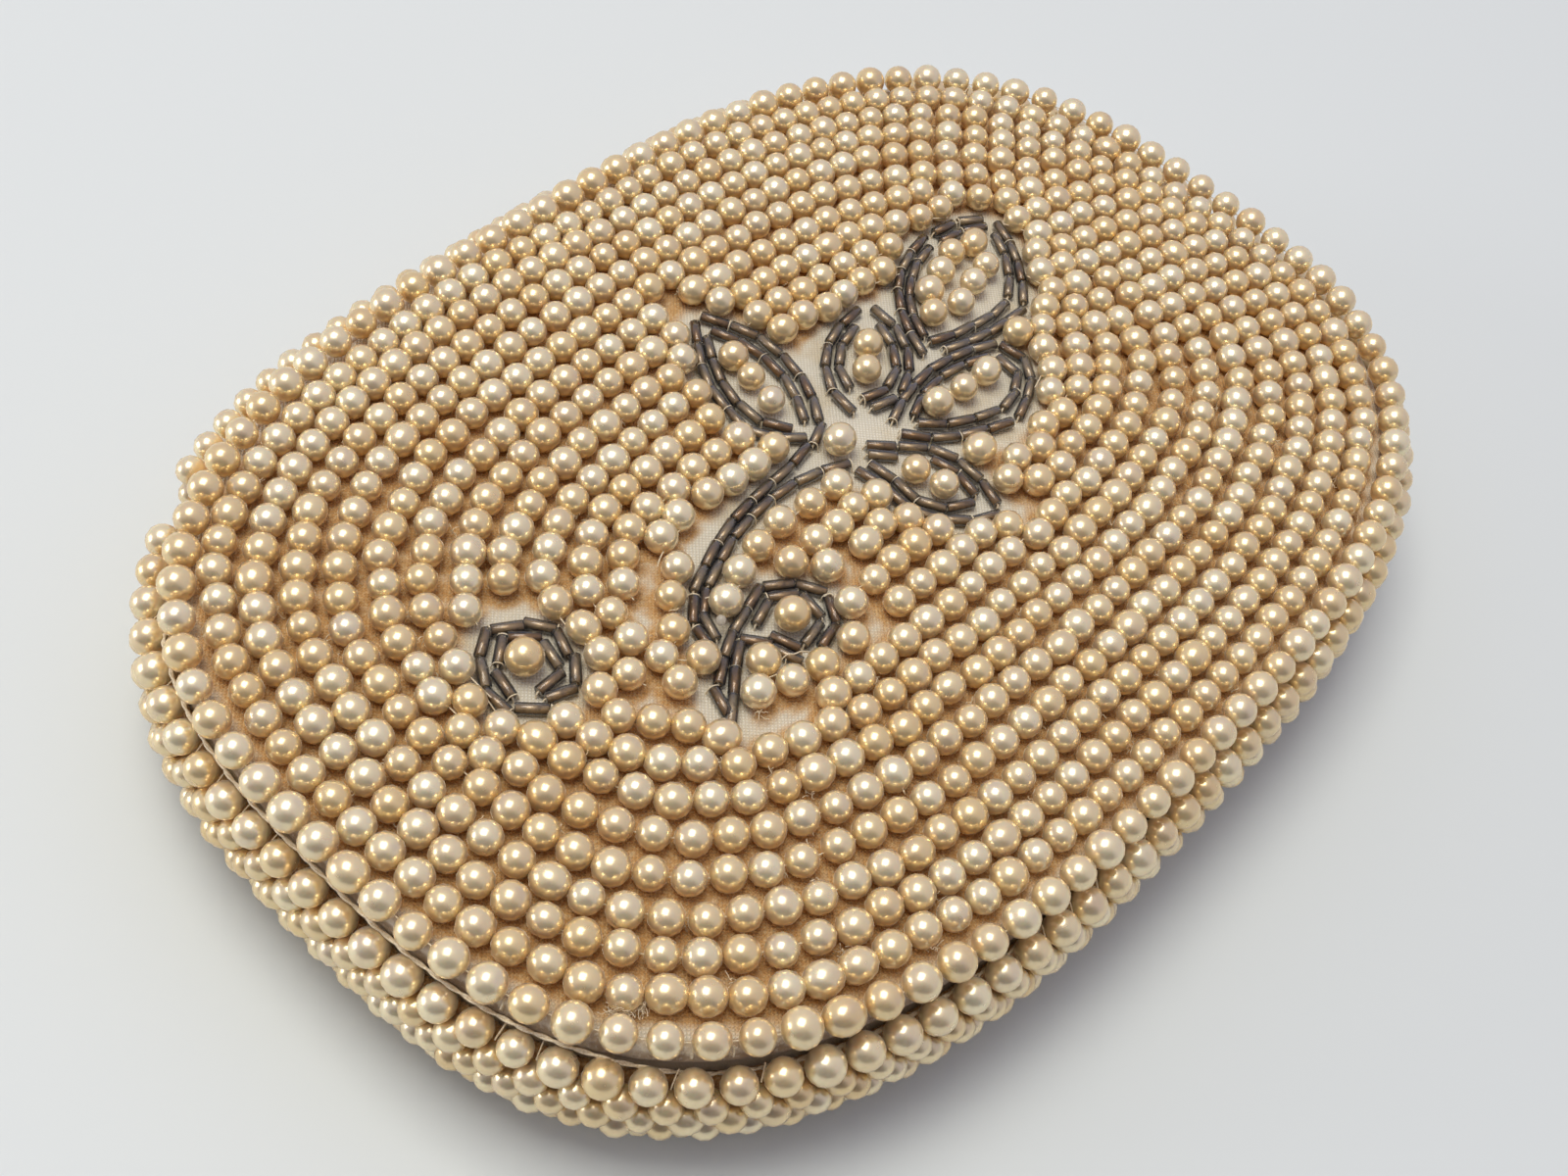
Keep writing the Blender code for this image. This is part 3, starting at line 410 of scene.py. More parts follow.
class Paint:
    """One material, or the world, and the nodes in it."""

    def __init__(self, name, shelf=None, shader="Principled BSDF"):
        self.material = (bpy.data.materials if shelf is None else shelf).new(name)
        self.material.use_nodes = True
        self.tree = self.material.node_tree
        self.shader = self.tree.nodes[shader]

    def feed(self, socket, value):
        """Link a field to a socket, or set the socket's value."""
        if isinstance(value, Field):
            self.tree.links.new(value.socket, socket)
        else:
            socket.default_value = value

    def node(self, kind, settings=None, values=None, output=0):
        """Any node: its type, its settings, and the values or links of its sockets."""
        made = self.tree.nodes.new(kind)
        for key, value in (settings or {}).items():
            setattr(made, key, value)
        for key, value in (values or {}).items():
            self.feed(made.inputs[key], value)
        return Field(self, made.outputs[output])

    def attribute(self, name, output=2):
        """A number stored on the mesh."""
        return self.node("ShaderNodeAttribute", {"attribute_name": name}, output=output)

    def place(self):
        """Object coordinates."""
        return self.node("ShaderNodeTexCoord", output=3)

    def noise(self, vector, scale, detail=2.0, roughness=0.5):
        """Soft noise from 0 to 1."""
        values = {"Vector": vector, "Scale": scale, "Detail": detail, "Roughness": roughness}
        return self.node("ShaderNodeTexNoise", {}, values)

    def parts(self, vector):
        """X, Y and Z of a vector field."""
        first = self.node("ShaderNodeSeparateXYZ", {}, {0: vector})
        return [Field(self, socket) for socket in first.socket.node.outputs]

    def mix(self, share, first, second):
        """A mix of two colours."""
        values = {"Factor": share, 6: first, 7: second}
        return self.node("ShaderNodeMix", {"data_type": "RGBA"}, values, 2)

    def bump(self, height, distance, strength=1.0):
        """A bump from a height field."""
        values = {"Height": height, "Distance": distance, "Strength": strength}
        return self.node("ShaderNodeBump", {}, values)

    def surface(self, **values):
        """Set or link sockets of the shader; an underscore is a space."""
        for key, value in values.items():
            self.feed(self.shader.inputs[key.replace("_", " ")], value)
        return self.material


def shade(red, green, blue):
    """A linear colour from its sRGB parts between 0 and 255."""
    parts = []
    for part in (red, green, blue):
        share = part / 255
        parts.append(share / 12.92 if share <= 0.04045 else ((share + 0.055) / 1.055) ** 2.4)
    return (*parts, 1.0)


def paint_pearl():
    """Champagne nacre lacquer: each pearl a little lighter or warmer, with painted warm amber bounce light at
    its foot.
    """
    paint = Paint("pearl_nacre")
    tint = paint.attribute("tint")
    foot = paint.attribute("foot")
    place = paint.place()
    body = paint.mix(tint, shade(238, 211, 156), shade(247, 233, 195))
    blotch = paint.noise(place, 240.0, 3.0).ramp(0.42, 0.68)
    body = paint.mix(blotch * 0.3, body, shade(224, 190, 144))
    # Greyish-pink patches at random over the pearls: painted reflection of the dim room
    painted_reflection = paint.noise(place, 300.0, 2.0).ramp(0.5, 0.75)
    body = paint.mix(painted_reflection * 0.3, body, shade(198, 180, 170))
    # Painted warm amber bounce light on the lower part of each pearl, where it faces the cloth and its
    # neighbours
    low = foot.ramp(0.4, 1.0)
    body = paint.mix(low * 0.8, body, shade(246, 208, 136))
    grain = paint.noise(place, 2600.0, 2.0)
    normal = paint.bump(grain, 0.00002, 0.2)
    roughness = 0.19 + paint.noise(place, 700.0, 2.0) * 0.12
    return paint.surface(
        Base_Color=body,
        Metallic=0.62 - low * 0.45,
        Roughness=roughness,
        IOR=1.6,
        Specular_Tint=(1.0, 0.86, 0.68, 1.0),
        Coat_Weight=0.5,
        Coat_Roughness=0.08,
        Coat_IOR=1.55,
        Sheen_Weight=0.6,
        Sheen_Roughness=0.3,
        Sheen_Tint=(1.0, 0.84, 0.6, 1.0),
        Subsurface_Weight=0.3,
        Subsurface_Radius=(1.0, 0.62, 0.3),
        Subsurface_Scale=1.0 * MM,
        Normal=normal,
    )


def weave(across, along, pitch):
    """Heights of a plain weave: threads over and under one another."""
    wave_x = (across * (math.tau / pitch)).sine()
    wave_y = (along * (math.tau / pitch)).sine()
    return wave_x * wave_y * 0.5 + 0.5, wave_x.absolute().most(wave_y.absolute())


def paint_ground():
    """Ivory woven ground cloth, with painted warm amber shade beside the pearls and none round the spray."""
    paint = Paint("ground_cloth")
    place = paint.place()
    warm_shade = paint.attribute("warm_shade")
    x, y, _ = paint.parts(place)
    wobble = paint.noise(place, 120.0, 2.0) * (0.6 * MM)
    cross, thread = weave(x + wobble, y + wobble, 0.62 * MM)
    fuzz = paint.noise(place, 2400.0, 3.0, 0.7)
    grime = paint.noise(place, 160.0, 3.0)
    unshaded_cloth = paint.mix(cross, shade(214, 202, 174), shade(252, 244, 224))
    unshaded_cloth = paint.mix(grime.ramp(0.45, 0.7) * 0.5, unshaded_cloth, shade(216, 194, 152))
    # Painted warm amber shade where light bounces between the pearls
    amber = paint.mix(fuzz.ramp(0.4, 0.8), shade(206, 156, 92), shade(238, 208, 154))
    tone = paint.mix(warm_shade, unshaded_cloth, amber)
    height = cross * 0.8 + thread * 0.5 + fuzz * 0.6
    normal = paint.bump(height, 0.2 * MM, 1.0)
    return paint.surface(Base_Color=tone, Roughness=0.9, Sheen_Weight=0.2, Normal=normal)


def paint_hem():
    """The same cloth where it is turned over the edge, painted darker and browner as shade, with pale flecks
    and a worn, paler fold.
    """
    paint = Paint("hem_cloth")
    place = paint.place()
    worn = paint.attribute("worn")
    fuzz = paint.noise(place, 1700.0, 4.0, 0.75)
    fold = paint.noise(place, 260.0, 3.0)
    # Darker, browner mottle than the flat cloth: painted shade on the turned edge
    tone = paint.mix(fold.ramp(0.35, 0.7), shade(168, 140, 106), shade(206, 186, 154))
    fleck = fuzz.ramp(0.52, 0.62) * 0.6
    tone = paint.mix(fleck, tone, shade(236, 228, 210))
    tone = paint.mix(worn * fold.ramp(0.3, 0.6), tone, shade(238, 228, 206))
    height = fuzz + fold * 0.8
    normal = paint.bump(height, 0.25 * MM, 0.9)
    return paint.surface(Base_Color=tone, Roughness=0.85, Sheen_Weight=0.3, Normal=normal)


def paint_satin():
    """Ivory satin: long floats with a soft sheen and a few creases."""
    paint = Paint("lining_satin")
    place = paint.place()
    x = paint.parts(place)[0]
    wobble = paint.noise(place, 30.0, 2.0) * (1.0 * MM)
    rib = ((x + wobble) * (math.tau / (0.28 * MM))).sine() * 0.5 + 0.5
    crease = paint.noise(place, 34.0, 4.0, 0.55)
    # Darker in the crease troughs, lighter on the crests: painted shade in the creases
    tone = paint.mix(crease.ramp(0.35, 0.7), shade(214, 196, 160), shade(236, 222, 192))
    height = rib * 0.12 + crease * 2.4
    normal = paint.bump(height, 0.35 * MM, 0.5)
    roughness = 0.38 + crease * 0.12
    return paint.surface(
        Base_Color=tone,
        Roughness=roughness,
        Sheen_Weight=0.4,
        Sheen_Roughness=0.35,
        Normal=normal,
    )


def paint_board():
    """Unbleached millboard with a fibrous face."""
    paint = Paint("millboard")
    place = paint.place()
    fibre = paint.noise(place, 900.0, 4.0, 0.7)
    tone = paint.mix(fibre.ramp(0.3, 0.7), shade(160, 146, 120), shade(190, 176, 148))
    normal = paint.bump(fibre, 0.1 * MM, 0.5)
    return paint.surface(Base_Color=tone, Roughness=0.92, Normal=normal)


def paint_thread():
    """Twisted ivory cotton, slightly glossy along its plies."""
    paint = Paint("cotton_thread")
    place = paint.place()
    fibre = paint.noise(place, 3200.0, 3.0, 0.7)
    tone = paint.mix(fibre.ramp(0.3, 0.7), shade(220, 198, 156), shade(246, 232, 202))
    normal = paint.bump(fibre, 0.06 * MM, 0.6)
    return paint.surface(Base_Color=tone, Roughness=0.7, Sheen_Weight=0.3, Normal=normal)


def paint_glass():
    """Smoky glass of the bugles, thin enough to show the lining through its middle."""
    paint = Paint("bugle_glass")
    place = paint.place()
    tint = paint.attribute("tint")
    streak = paint.noise(place, 500.0, 2.0).ramp(0.35, 0.7)
    tone = paint.mix(tint, shade(34, 36, 40), shade(66, 66, 66))
    tone = paint.mix(streak * 0.5, tone, shade(30, 30, 33))
    depth = paint.node("ShaderNodeLayerWeight", {}, {"Blend": 0.5}, 1)
    return paint.surface(
        Base_Color=tone,
        Roughness=0.1,
        IOR=1.6,
        Alpha=depth.ramp(0.0, 0.7) * 0.65 + 0.3,
        Coat_Weight=1.0,
        Coat_Roughness=0.05,
        Coat_IOR=1.6,
    )


def paint_bore():
    """Tarnished silver lining inside each bugle, bronze brown with bright streaks."""
    paint = Paint("bugle_lining")
    place = paint.place()
    tint = paint.attribute("tint")
    flake = paint.noise(place, 900.0, 4.0, 0.7)
    tone = paint.mix(tint, shade(178, 134, 84), shade(230, 200, 152))
    tone = paint.mix(flake.ramp(0.5, 0.7) * 0.6, tone, shade(96, 76, 56))
    return paint.surface(Base_Color=tone, Metallic=0.5, Roughness=0.28 + flake * 0.2)


def paint_glue():
    """Clear dried glue."""
    paint = Paint("clear_glue")
    return paint.surface(Base_Color=shade(216, 206, 186), Alpha=0.5, Roughness=0.08, Coat_Weight=1.0)


def paint_nickel():
    """Nickel plate of the press stud, brushed by use."""
    paint = Paint("nickel_plate")
    place = paint.place()
    wear = paint.noise(place, 700.0, 4.0, 0.6)
    tone = paint.mix(wear.ramp(0.4, 0.7), shade(196, 194, 188), shade(168, 164, 154))
    roughness = 0.24 + wear * 0.2
    normal = paint.bump(wear, 0.02 * MM, 0.4)
    return paint.surface(Base_Color=tone, Metallic=1.0, Roughness=roughness, Normal=normal)


def paint_floor():
    """Plain pale table top."""
    paint = Paint("pale_table")
    return paint.surface(Base_Color=shade(216, 220, 216), Roughness=0.6)


def paint_room():
    """Pale room, dimmer on the side from which the bag is seen."""
    paint = Paint("pale_room", bpy.data.worlds, "Background")
    place = paint.node("ShaderNodeTexCoord")
    toward = paint.node(
        "ShaderNodeVectorMath", {"operation": "DOT_PRODUCT"}, {0: place, 1: DIM_DIRECTION}, "Value"
    )
    values = {"Value": toward, "From Min": 0.35, "From Max": 0.85, "To Min": 0.68, "To Max": 0.13}
    level = paint.node("ShaderNodeMapRange", {"interpolation_type": "SMOOTHSTEP"}, values)
    bpy.context.scene.world = paint.surface(Color=ROOM_COLOUR, Strength=level)


def outline(offset, steps=OUTLINE_STEPS):
    """The bag's outline moved outwards by an offset, anticlockwise from +X."""
    power = 2 / OUTLINE_POWER
    points = []
    for step in range(steps):
        turn = math.tau * step / steps
        along = math.cos(turn)
        across = math.sin(turn)
        x = math.copysign(abs(along) ** power, along) * (HALF_LENGTH + offset)
        y = math.copysign(abs(across) ** power, across) * (HALF_WIDTH + offset)
        points.append(Vector((x, y)))
    return points


def edge_shift(y):
    """How far the edge row lies outside its outline: nothing at the fold, where the flap turns."""
    return EDGE_SHIFT * min(1, max(0, (NOTCH_Y - y) / (25 * MM)))


def edge_path():
    """The closed line that the edge row follows."""
    pairs = zip(outline(0), outline(EDGE_SHIFT))
    return [inner.lerp(outer, edge_shift(inner.y) / EDGE_SHIFT) for inner, outer in pairs]


def dome(offset):
    """How far the flap has risen above its edge, at an offset from the outline."""
    share = max(0, (HALF_WIDTH + offset) / HALF_WIDTH)
    return DOME_RISE * max(0, 1 - share * share)


def offset_at(x, y):
    """The offset of the outline that passes through a point, found by halving."""
    low = -HALF_WIDTH
    high = RIM_REACH
    while high - low > SEAT / 20:
        middle = (low + high) / 2
        reach_x = abs(x) / (HALF_LENGTH + middle)
        reach_y = abs(y) / (HALF_WIDTH + middle)
        outside = reach_x**OUTLINE_POWER + reach_y**OUTLINE_POWER > 1
        low, high = (middle, high) if outside else (low, middle)
    return low


def cloth_height(spot):
    """Height of the flap's cloth under a spot."""
    return FLAP_TOP + dome(offset_at(spot[0], spot[1]))


def walk(points, pitch, closed=True, count=None):
    """Evenly spaced places along a path, each with the path's direction there."""
    path = list(points)
    if closed:
        path.append(path[0])
    lengths = [(after - before).length for before, after in zip(path, path[1:])]
    total = sum(lengths)
    count = count or max(2, round(total / pitch) + (0 if closed else 1))
    spans = count if closed else count - 1
    places = []
    index = 0
    passed = 0
    for number in range(count):
        target = total * number / spans
        while passed + lengths[index] < target and index < len(lengths) - 1:
            passed += lengths[index]
            index += 1
        direction = (path[index + 1] - path[index]).normalized()
        places.append((path[index] + direction * (target - passed), direction))
    return places


def pairs_of(points):
    """Each point of a closed path with the next."""
    return zip(points, points[1:] + points[:1])


def run_length(points):
    """Length of an open path."""
    return sum((after - before).length for before, after in zip(points, points[1:]))


def outward(direction):
    """The flat direction out of an anticlockwise path."""
    return Vector((direction.y, -direction.x))


def search_tree(spots):
    """Flat places, stored for a quick search."""
    tree = KDTree(len(spots))
    for index, spot in enumerate(spots):
        tree.insert(spot.to_3d(), index)
    tree.balance()
    return tree


def smooth_path(points, steps=24):
    """A smooth curve through a few points, as a list of close points."""
    ends = [points[0] * 2 - points[1], *points, points[-1] * 2 - points[-2]]
    path = []
    for before, start, end, after in zip(ends, ends[1:], ends[2:], ends[3:]):
        for step in range(steps):
            share = step / steps
            bend_in = (end - before) / 2
            bend_out = (after - start) / 2
            gap = end - start
            square = (gap * 3 - bend_in * 2 - bend_out) * share**2
            cube = (bend_in + bend_out - gap * 2) * share**3
            path.append(start + bend_in * share + square + cube)
    path.append(points[-1])
    return path


def finish_mesh(name, bm, materials, body, replaced=(), smooth=True):
    """Make a piece from a bmesh, shade it, and let it ride on its body."""
    mesh = bpy.data.meshes.new(name)
    bm.to_mesh(mesh)
    bm.free()
    for material in materials:
        mesh.materials.append(material)
    if smooth:
        mesh.shade_smooth()
    piece = bpy.data.objects.new(name, mesh)
    bpy.context.scene.collection.objects.link(piece)
    if body:
        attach(piece, body)
    if replaced:
        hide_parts(*replaced)
    return piece


def add_numbers(piece, key, values):
    """Store one number for each vertex of a piece."""
    store = piece.data.attributes.new(key, "FLOAT", "POINT")
    store.data.foreach_set("value", values)


def pearl_template(cuts):
    """A round bead of even faces."""
    bm = bmesh.new()
    bmesh.ops.create_cube(bm, size=2)
    bmesh.ops.subdivide_edges(bm, edges=bm.edges, cuts=cuts, use_grid_fill=True)
    for vert in bm.verts:
        even = Vector([math.tan(part * math.pi / 4) for part in vert.co])
        vert.co = even.normalized()
    mesh = bpy.data.meshes.new("pearl_template")
    bm.to_mesh(mesh)
    bm.free()
    return mesh


def string_pearls(name, beads, material, body, node, cuts, seed):
    """One piece of many pearls; a bead is its centre, radius, thread direction and foot."""
    dice = random.Random(seed)
    template = pearl_template(cuts)
    count = len(template.vertices)
    bm = bmesh.new()
    tints = []
    feet = []
    for centre, radius, direction, up in beads:
        size = radius * (1 + max(-2, min(2, dice.gauss(0, 1))) * SIZE_SPREAD)
        long = dice.random() < LONG_PEARL_CHANCE
        stretch = LONG_PEARL_STRETCH if long else 1 + max(0, dice.gauss(0, STRETCH_SPREAD))
        side = up.cross(direction).normalized()
        forward = side.cross(up)
        turn = Matrix((forward, side, up)).transposed().to_4x4()
        spin = Matrix.Rotation(dice.uniform(0, math.tau), 4, "X")
        grow = Matrix.Diagonal((size * stretch, size, size, 1))
        move = Matrix.Translation(centre) @ turn @ grow @ spin
        start = template.copy()
        start.transform(move)
        bm.from_mesh(start)
        points = [vert.co for vert in start.vertices]
        # How low each point sits on its pearl: the pearl paint lays its painted warm bounce light there
        feet += [0.5 - (point - centre).dot(up) / size / 2 for point in points]
        tints += [dice.random()] * count
        bpy.data.meshes.remove(start)
    piece = finish_mesh(name, bm, [material], body, [node])
    add_numbers(piece, "tint", tints)
    add_numbers(piece, "foot", feet)
    bpy.data.meshes.remove(template)


class Threads:
    """Round threads laid as curves, then made one mesh."""

    def __init__(self, rounding=1):
        self.curve = bpy.data.curves.new("threads", "CURVE")
        self.curve.dimensions = "3D"
        self.curve.bevel_depth = 1.0
        self.curve.bevel_resolution = rounding
        self.curve.use_fill_caps = True

    def lay(self, path, radius):
        """Add one thread along a path."""
        line = self.curve.splines.new("POLY")
        line.points.add(len(path) - 1)
        for point, place in zip(line.points, path):
            point.co = (*place, 1)
            point.radius = radius

    def finish(self, name, material, body, replaced=()):
        """Make the threads one mesh that rides on its body."""
        holder = bpy.data.objects.new("threads", self.curve)
        bpy.context.scene.collection.objects.link(holder)
        bpy.context.view_layer.update()
        mesh = bpy.data.meshes.new_from_object(holder)
        bm = bmesh.new()
        bm.from_mesh(mesh)
        bpy.data.objects.remove(holder)
        bpy.data.curves.remove(self.curve)
        bpy.data.meshes.remove(mesh)
        return finish_mesh(name, bm, [material], body, replaced)


def draw_skin(bm, rings, cap_first=True):
    """A skin drawn out from a circle through rings of equal count."""
    mark = bm.verts.layers.int.new("mark")
    verts = bmesh.ops.create_circle(bm, cap_ends=cap_first, segments=len(rings[0]), radius=1)["verts"]
    for index, vert in enumerate(verts):
        vert[mark] = index
        vert.co = rings[0][index]
    edges = [edge for edge in bm.edges if edge.verts[0] in verts and edge.verts[1] in verts]
    for points in rings[1:]:
        grown = bmesh.ops.extrude_edge_only(bm, edges=edges)["geom"]
        verts = {part for part in grown if isinstance(part, bmesh.types.BMVert)}
        for vert in verts:
            vert.co = points[vert[mark]]
        edges = [part for part in grown if isinstance(part, bmesh.types.BMEdge)]
        edges = [edge for edge in edges if edge.verts[0] in verts and edge.verts[1] in verts]
    bmesh.ops.edgeloop_fill(bm, edges=edges)
    bmesh.ops.recalc_face_normals(bm, faces=bm.faces)


def skin_piece(name, rings, materials, node, merged=False):
    """A piece of the back made of one skin; merged where the rings meet."""
    bm = bmesh.new()
    draw_skin(bm, rings)
    if merged:
        bmesh.ops.remove_doubles(bm, verts=bm.verts, dist=0.001 * MM)
    return finish_mesh(name, bm, materials, "root", [node])


def revolve(bm, profile, centre, steps=48):
    """A turned part: rings from a profile of radius and height."""
    rings = []
    for radius, height in profile:
        turns = [math.tau * step / steps for step in range(steps)]
        rings.append([centre + Vector((radius * math.cos(t), radius * math.sin(t), height)) for t in turns])
    draw_skin(bm, rings)


def ring(offset, height, steps=OUTLINE_STEPS):
    """One closed ring of the outline at a height."""
    return [Vector((spot.x, spot.y, height)) for spot in outline(offset, steps)]


def segment_distance(point, start, end):
    """How far a point lies from a straight run."""
    run = end - start
    share = (point - start).dot(run) / run.length_squared
    return (point - start - run * min(1, max(0, share))).length


def bugle_runs():
    """Start and end of every bugle, on the flat, by string."""
    strings = {}
    for name, routes in BUGLE_ROUTES.items():
        runs = []
        for route in routes:
            points = [Vector(point) * MM for point in route]
            path = smooth_path(points) if len(points) > 2 else points
            count = max(1, round(run_length(path) / BUGLE_STEP))
            joints = [spot for spot, _ in walk(path, 0, False, count + 1)]
            for start, end in zip(joints, joints[1:]):
                middle = (start + end) / 2
                half = (end - start).normalized() * BUGLE_LENGTH / 2
                runs.append((middle - half, middle + half))
        strings[name] = runs
    return strings


def inside_leaves(strings):
    """A test of whether a spot lies inside one of the leaves, by their outer bugles."""
    hulls = []
    for name, runs in strings.items():
        if name.startswith("leaf"):
            hulls.append(convex_hull([end for run in runs for end in run]))
    return lambda spot: any(within(spot, hull) for hull in hulls)


def convex_hull(points):
    """The outer corners of a set of points, anticlockwise."""
    ordered = sorted(points, key=lambda point: (point.x, point.y))
    halves = []
    for run in (ordered, ordered[::-1]):
        half = []
        for point in run:
            while len(half) > 1 and (half[-1] - half[-2]).cross(point - half[-2]) <= 0:
                half.pop()
            half.append(point)
        halves += half[:-1]
    return halves


def within(spot, hull):
    """Whether a spot lies inside a convex outline."""
    return all((after - before).cross(spot - before) > 0 for before, after in pairs_of(hull))


def on_bare_cloth(spot):
    """Whether a spot lies in one of the bare patches round the spray."""
    return any((spot - Vector(centre) * MM).length < radius * MM for centre, radius in BARE_PATCHES)


def ring_spots(dice, runs, in_leaf):
    """Places on the field's rings outside the leaves, each with the bugles near it."""
    near = BUGLE_CLEARANCE * NEAR_BUGLE_SHARE
    kept = []
    for inset in FIELD_INSETS:
        start = dice.randrange(OUTLINE_STEPS)
        path = outline(-inset * MM)
        path = path[start:] + path[:start]
        for spot, direction in walk(path, PEARL_PITCH):
            spot = spot + Vector((dice.gauss(0, SPOT_SPREAD), dice.gauss(0, SPOT_SPREAD))) * MM
            if not in_leaf(spot):
                close = [run for run in runs if segment_distance(spot, *run) < near]
                kept.append([spot, direction, close])
    return kept


def settle(kept):
    """Let the pearls push one another, and give way to the bugles and the edge row."""
    edge = search_tree([spot for spot, _ in walk(edge_path(), EDGE_PITCH)])
    edge_gap = EDGE_RADIUS + FIELD_RADIUS
    for _ in range(PUSH_ROUNDS):
        tree = search_tree([entry[0] for entry in kept])
        for index, entry in enumerate(kept):
            spot = entry[0]
            push = Vector((0, 0))
            for run in entry[2]:
                gap = segment_distance(spot, *run)
                if gap < BUGLE_CLEARANCE:
                    line = run[1] - run[0]
                    share = min(1, max(0, (spot - run[0]).dot(line) / line.length_squared))
                    away = spot - run[0] - line * share
                    push += away.normalized() * (BUGLE_CLEARANCE - gap)
            for place, other, gap in tree.find_range(spot.to_3d(), FIELD_RADIUS * 2):
                if other != index:
                    push += (spot - place.to_2d()).normalized() * (FIELD_RADIUS * 2 - gap) / 2
            for place, _, gap in edge.find_range(spot.to_3d(), edge_gap):
                push += (spot - place.to_2d()).normalized() * (edge_gap - gap)
            entry[0] = spot + push * 0.5


def fill_holes(dice, final, fixed, runs, in_leaf):
    """Add pearls where the field still has room for one."""
    taken = [spot for spot, _ in final] + fixed
    for _ in range(HOLE_TRIES):
        spot = Vector((dice.uniform(*HOLES_X), dice.uniform(*HOLES_Y))) * MM
        if in_leaf(spot) or on_bare_cloth(spot):
            continue
        if min(segment_distance(spot, *run) for run in runs) < BUGLE_CLEARANCE * HOLE_BUGLE_SHARE:
            continue
        if min((spot - other).length for other in taken) > FIELD_RADIUS * HOLE_PEARL_SHARE:
            taken.append(spot)
            final.append((spot, Vector((1, 0))))


def field_spots(strings):
    """Places of the field's pearls: rings one inside the next, giving way to the spray."""
    dice = random.Random(7)
    runs = [run for group in strings.values() for run in group]
    fixed = [Vector(spot) * MM for group in LEAF_PEARLS.values() for spot in group]
    fixed += [Vector(spot) * MM for spot in NEAR_PEARLS]
    in_leaf = inside_leaves(strings)
    kept = ring_spots(dice, runs, in_leaf)
    settle(kept)
    bugle_room = BUGLE_CLEARANCE * BUGLE_ROOM_SHARE
    sewn_room = FIELD_RADIUS * SEWN_ROOM_SHARE
    field_room = FIELD_RADIUS * FIELD_ROOM_SHARE
    final = []
    for spot, direction, close in kept:
        blocked = in_leaf(spot) or on_bare_cloth(spot)
        blocked = blocked or any(segment_distance(spot, *run) < bugle_room for run in close)
        blocked = blocked or any((spot - pearl).length < sewn_room for pearl in fixed)
        blocked = blocked or any((spot - other).length < field_room for other, _ in final)
        if not blocked:
            final.append((spot, direction))
    final += [(Vector(spot) * MM, Vector((1, 0))) for spot in NEAR_PEARLS]
    fill_holes(dice, final, fixed, runs, in_leaf)
    return final


def make_flap_pearls(materials, spots):
    """Edge row, field and the pearls inside the spray."""
    dice = random.Random(3)
    beads = []
    for spot, direction in walk(edge_path(), EDGE_PITCH):
        centre = Vector((spot.x, spot.y, EDGE_Z + dice.gauss(0, 0.08) * MM))
        beads.append((centre, EDGE_RADIUS, direction.to_3d(), UP))
    string_pearls("edge_row_pearls", beads, materials["pearl"], "flap", "flap_edge_pearls", 3, 11)
    beads = []
    for spot, direction in spots:
        height = cloth_height(spot) + FIELD_RADIUS * 0.95
        beads.append((Vector((spot.x, spot.y, height)), FIELD_RADIUS, direction.to_3d(), UP))
    string_pearls("field_pearls", beads, materials["pearl"], "flap", "flap_field_pearls", 2, 12)
    for number, (name, places) in enumerate(LEAF_PEARLS.items()):
        beads = []
        for place in places:
            spot = Vector(place) * MM
            radius = HEART_RADIUS if "heart" in name else PEARL_RADIUS * 1.04
            centre = Vector((spot.x, spot.y, cloth_height(spot) + radius))
            beads.append((centre, radius, Vector((1, 0.3, 0)), UP))
        string_pearls("sewn_" + name, beads, materials["pearl"], "flap", name, 3, 20 + number)


def bugle_template():
    """A short glass tube along X with rounded ends, and the lining inside it."""
    bm = bmesh.new()
    half = BUGLE_LENGTH / 2
    lip = 0.12 * MM
    shell = (
        (-half, BUGLE_BORE),
        (-half, BUGLE_RADIUS - lip),
        (-half + lip, BUGLE_RADIUS),
        (half - lip, BUGLE_RADIUS),
        (half, BUGLE_RADIUS - lip),
        (half, BUGLE_BORE),
    )
    lining = (
        (-half + lip, BUGLE_BORE),
        (-half + lip, LINING_RADIUS),
        (half - lip, LINING_RADIUS),
        (half - lip, BUGLE_BORE),
    )
    for profile in (shell, lining):
        verts = [bm.verts.new((x, radius, 0)) for x, radius in profile]
        edges = [bm.edges.new(pair) for pair in zip(verts, verts[1:] + verts[:1])]
        bmesh.ops.spin(
            bm,
            geom=verts + edges,
            axis=(1, 0, 0),
            cent=(0, 0, 0),
            angle=math.tau,
            steps=12,
            use_merge=True,
        )
    bmesh.ops.recalc_face_normals(bm, faces=bm.faces)
    for face in bm.faces:
        middle = face.calc_center_median()
        middle.x = 0
        face.material_index = 1 if middle.length < LINING_RADIUS * 1.01 else 0
        face.smooth = True
    for face in bm.faces:
        middle = face.calc_center_median()
        if abs(middle.x) > half - lip / 2:
            face.material_index = 0
    mesh = bpy.data.meshes.new("bugle_template")
    bm.to_mesh(mesh)
    bm.free()
    return mesh


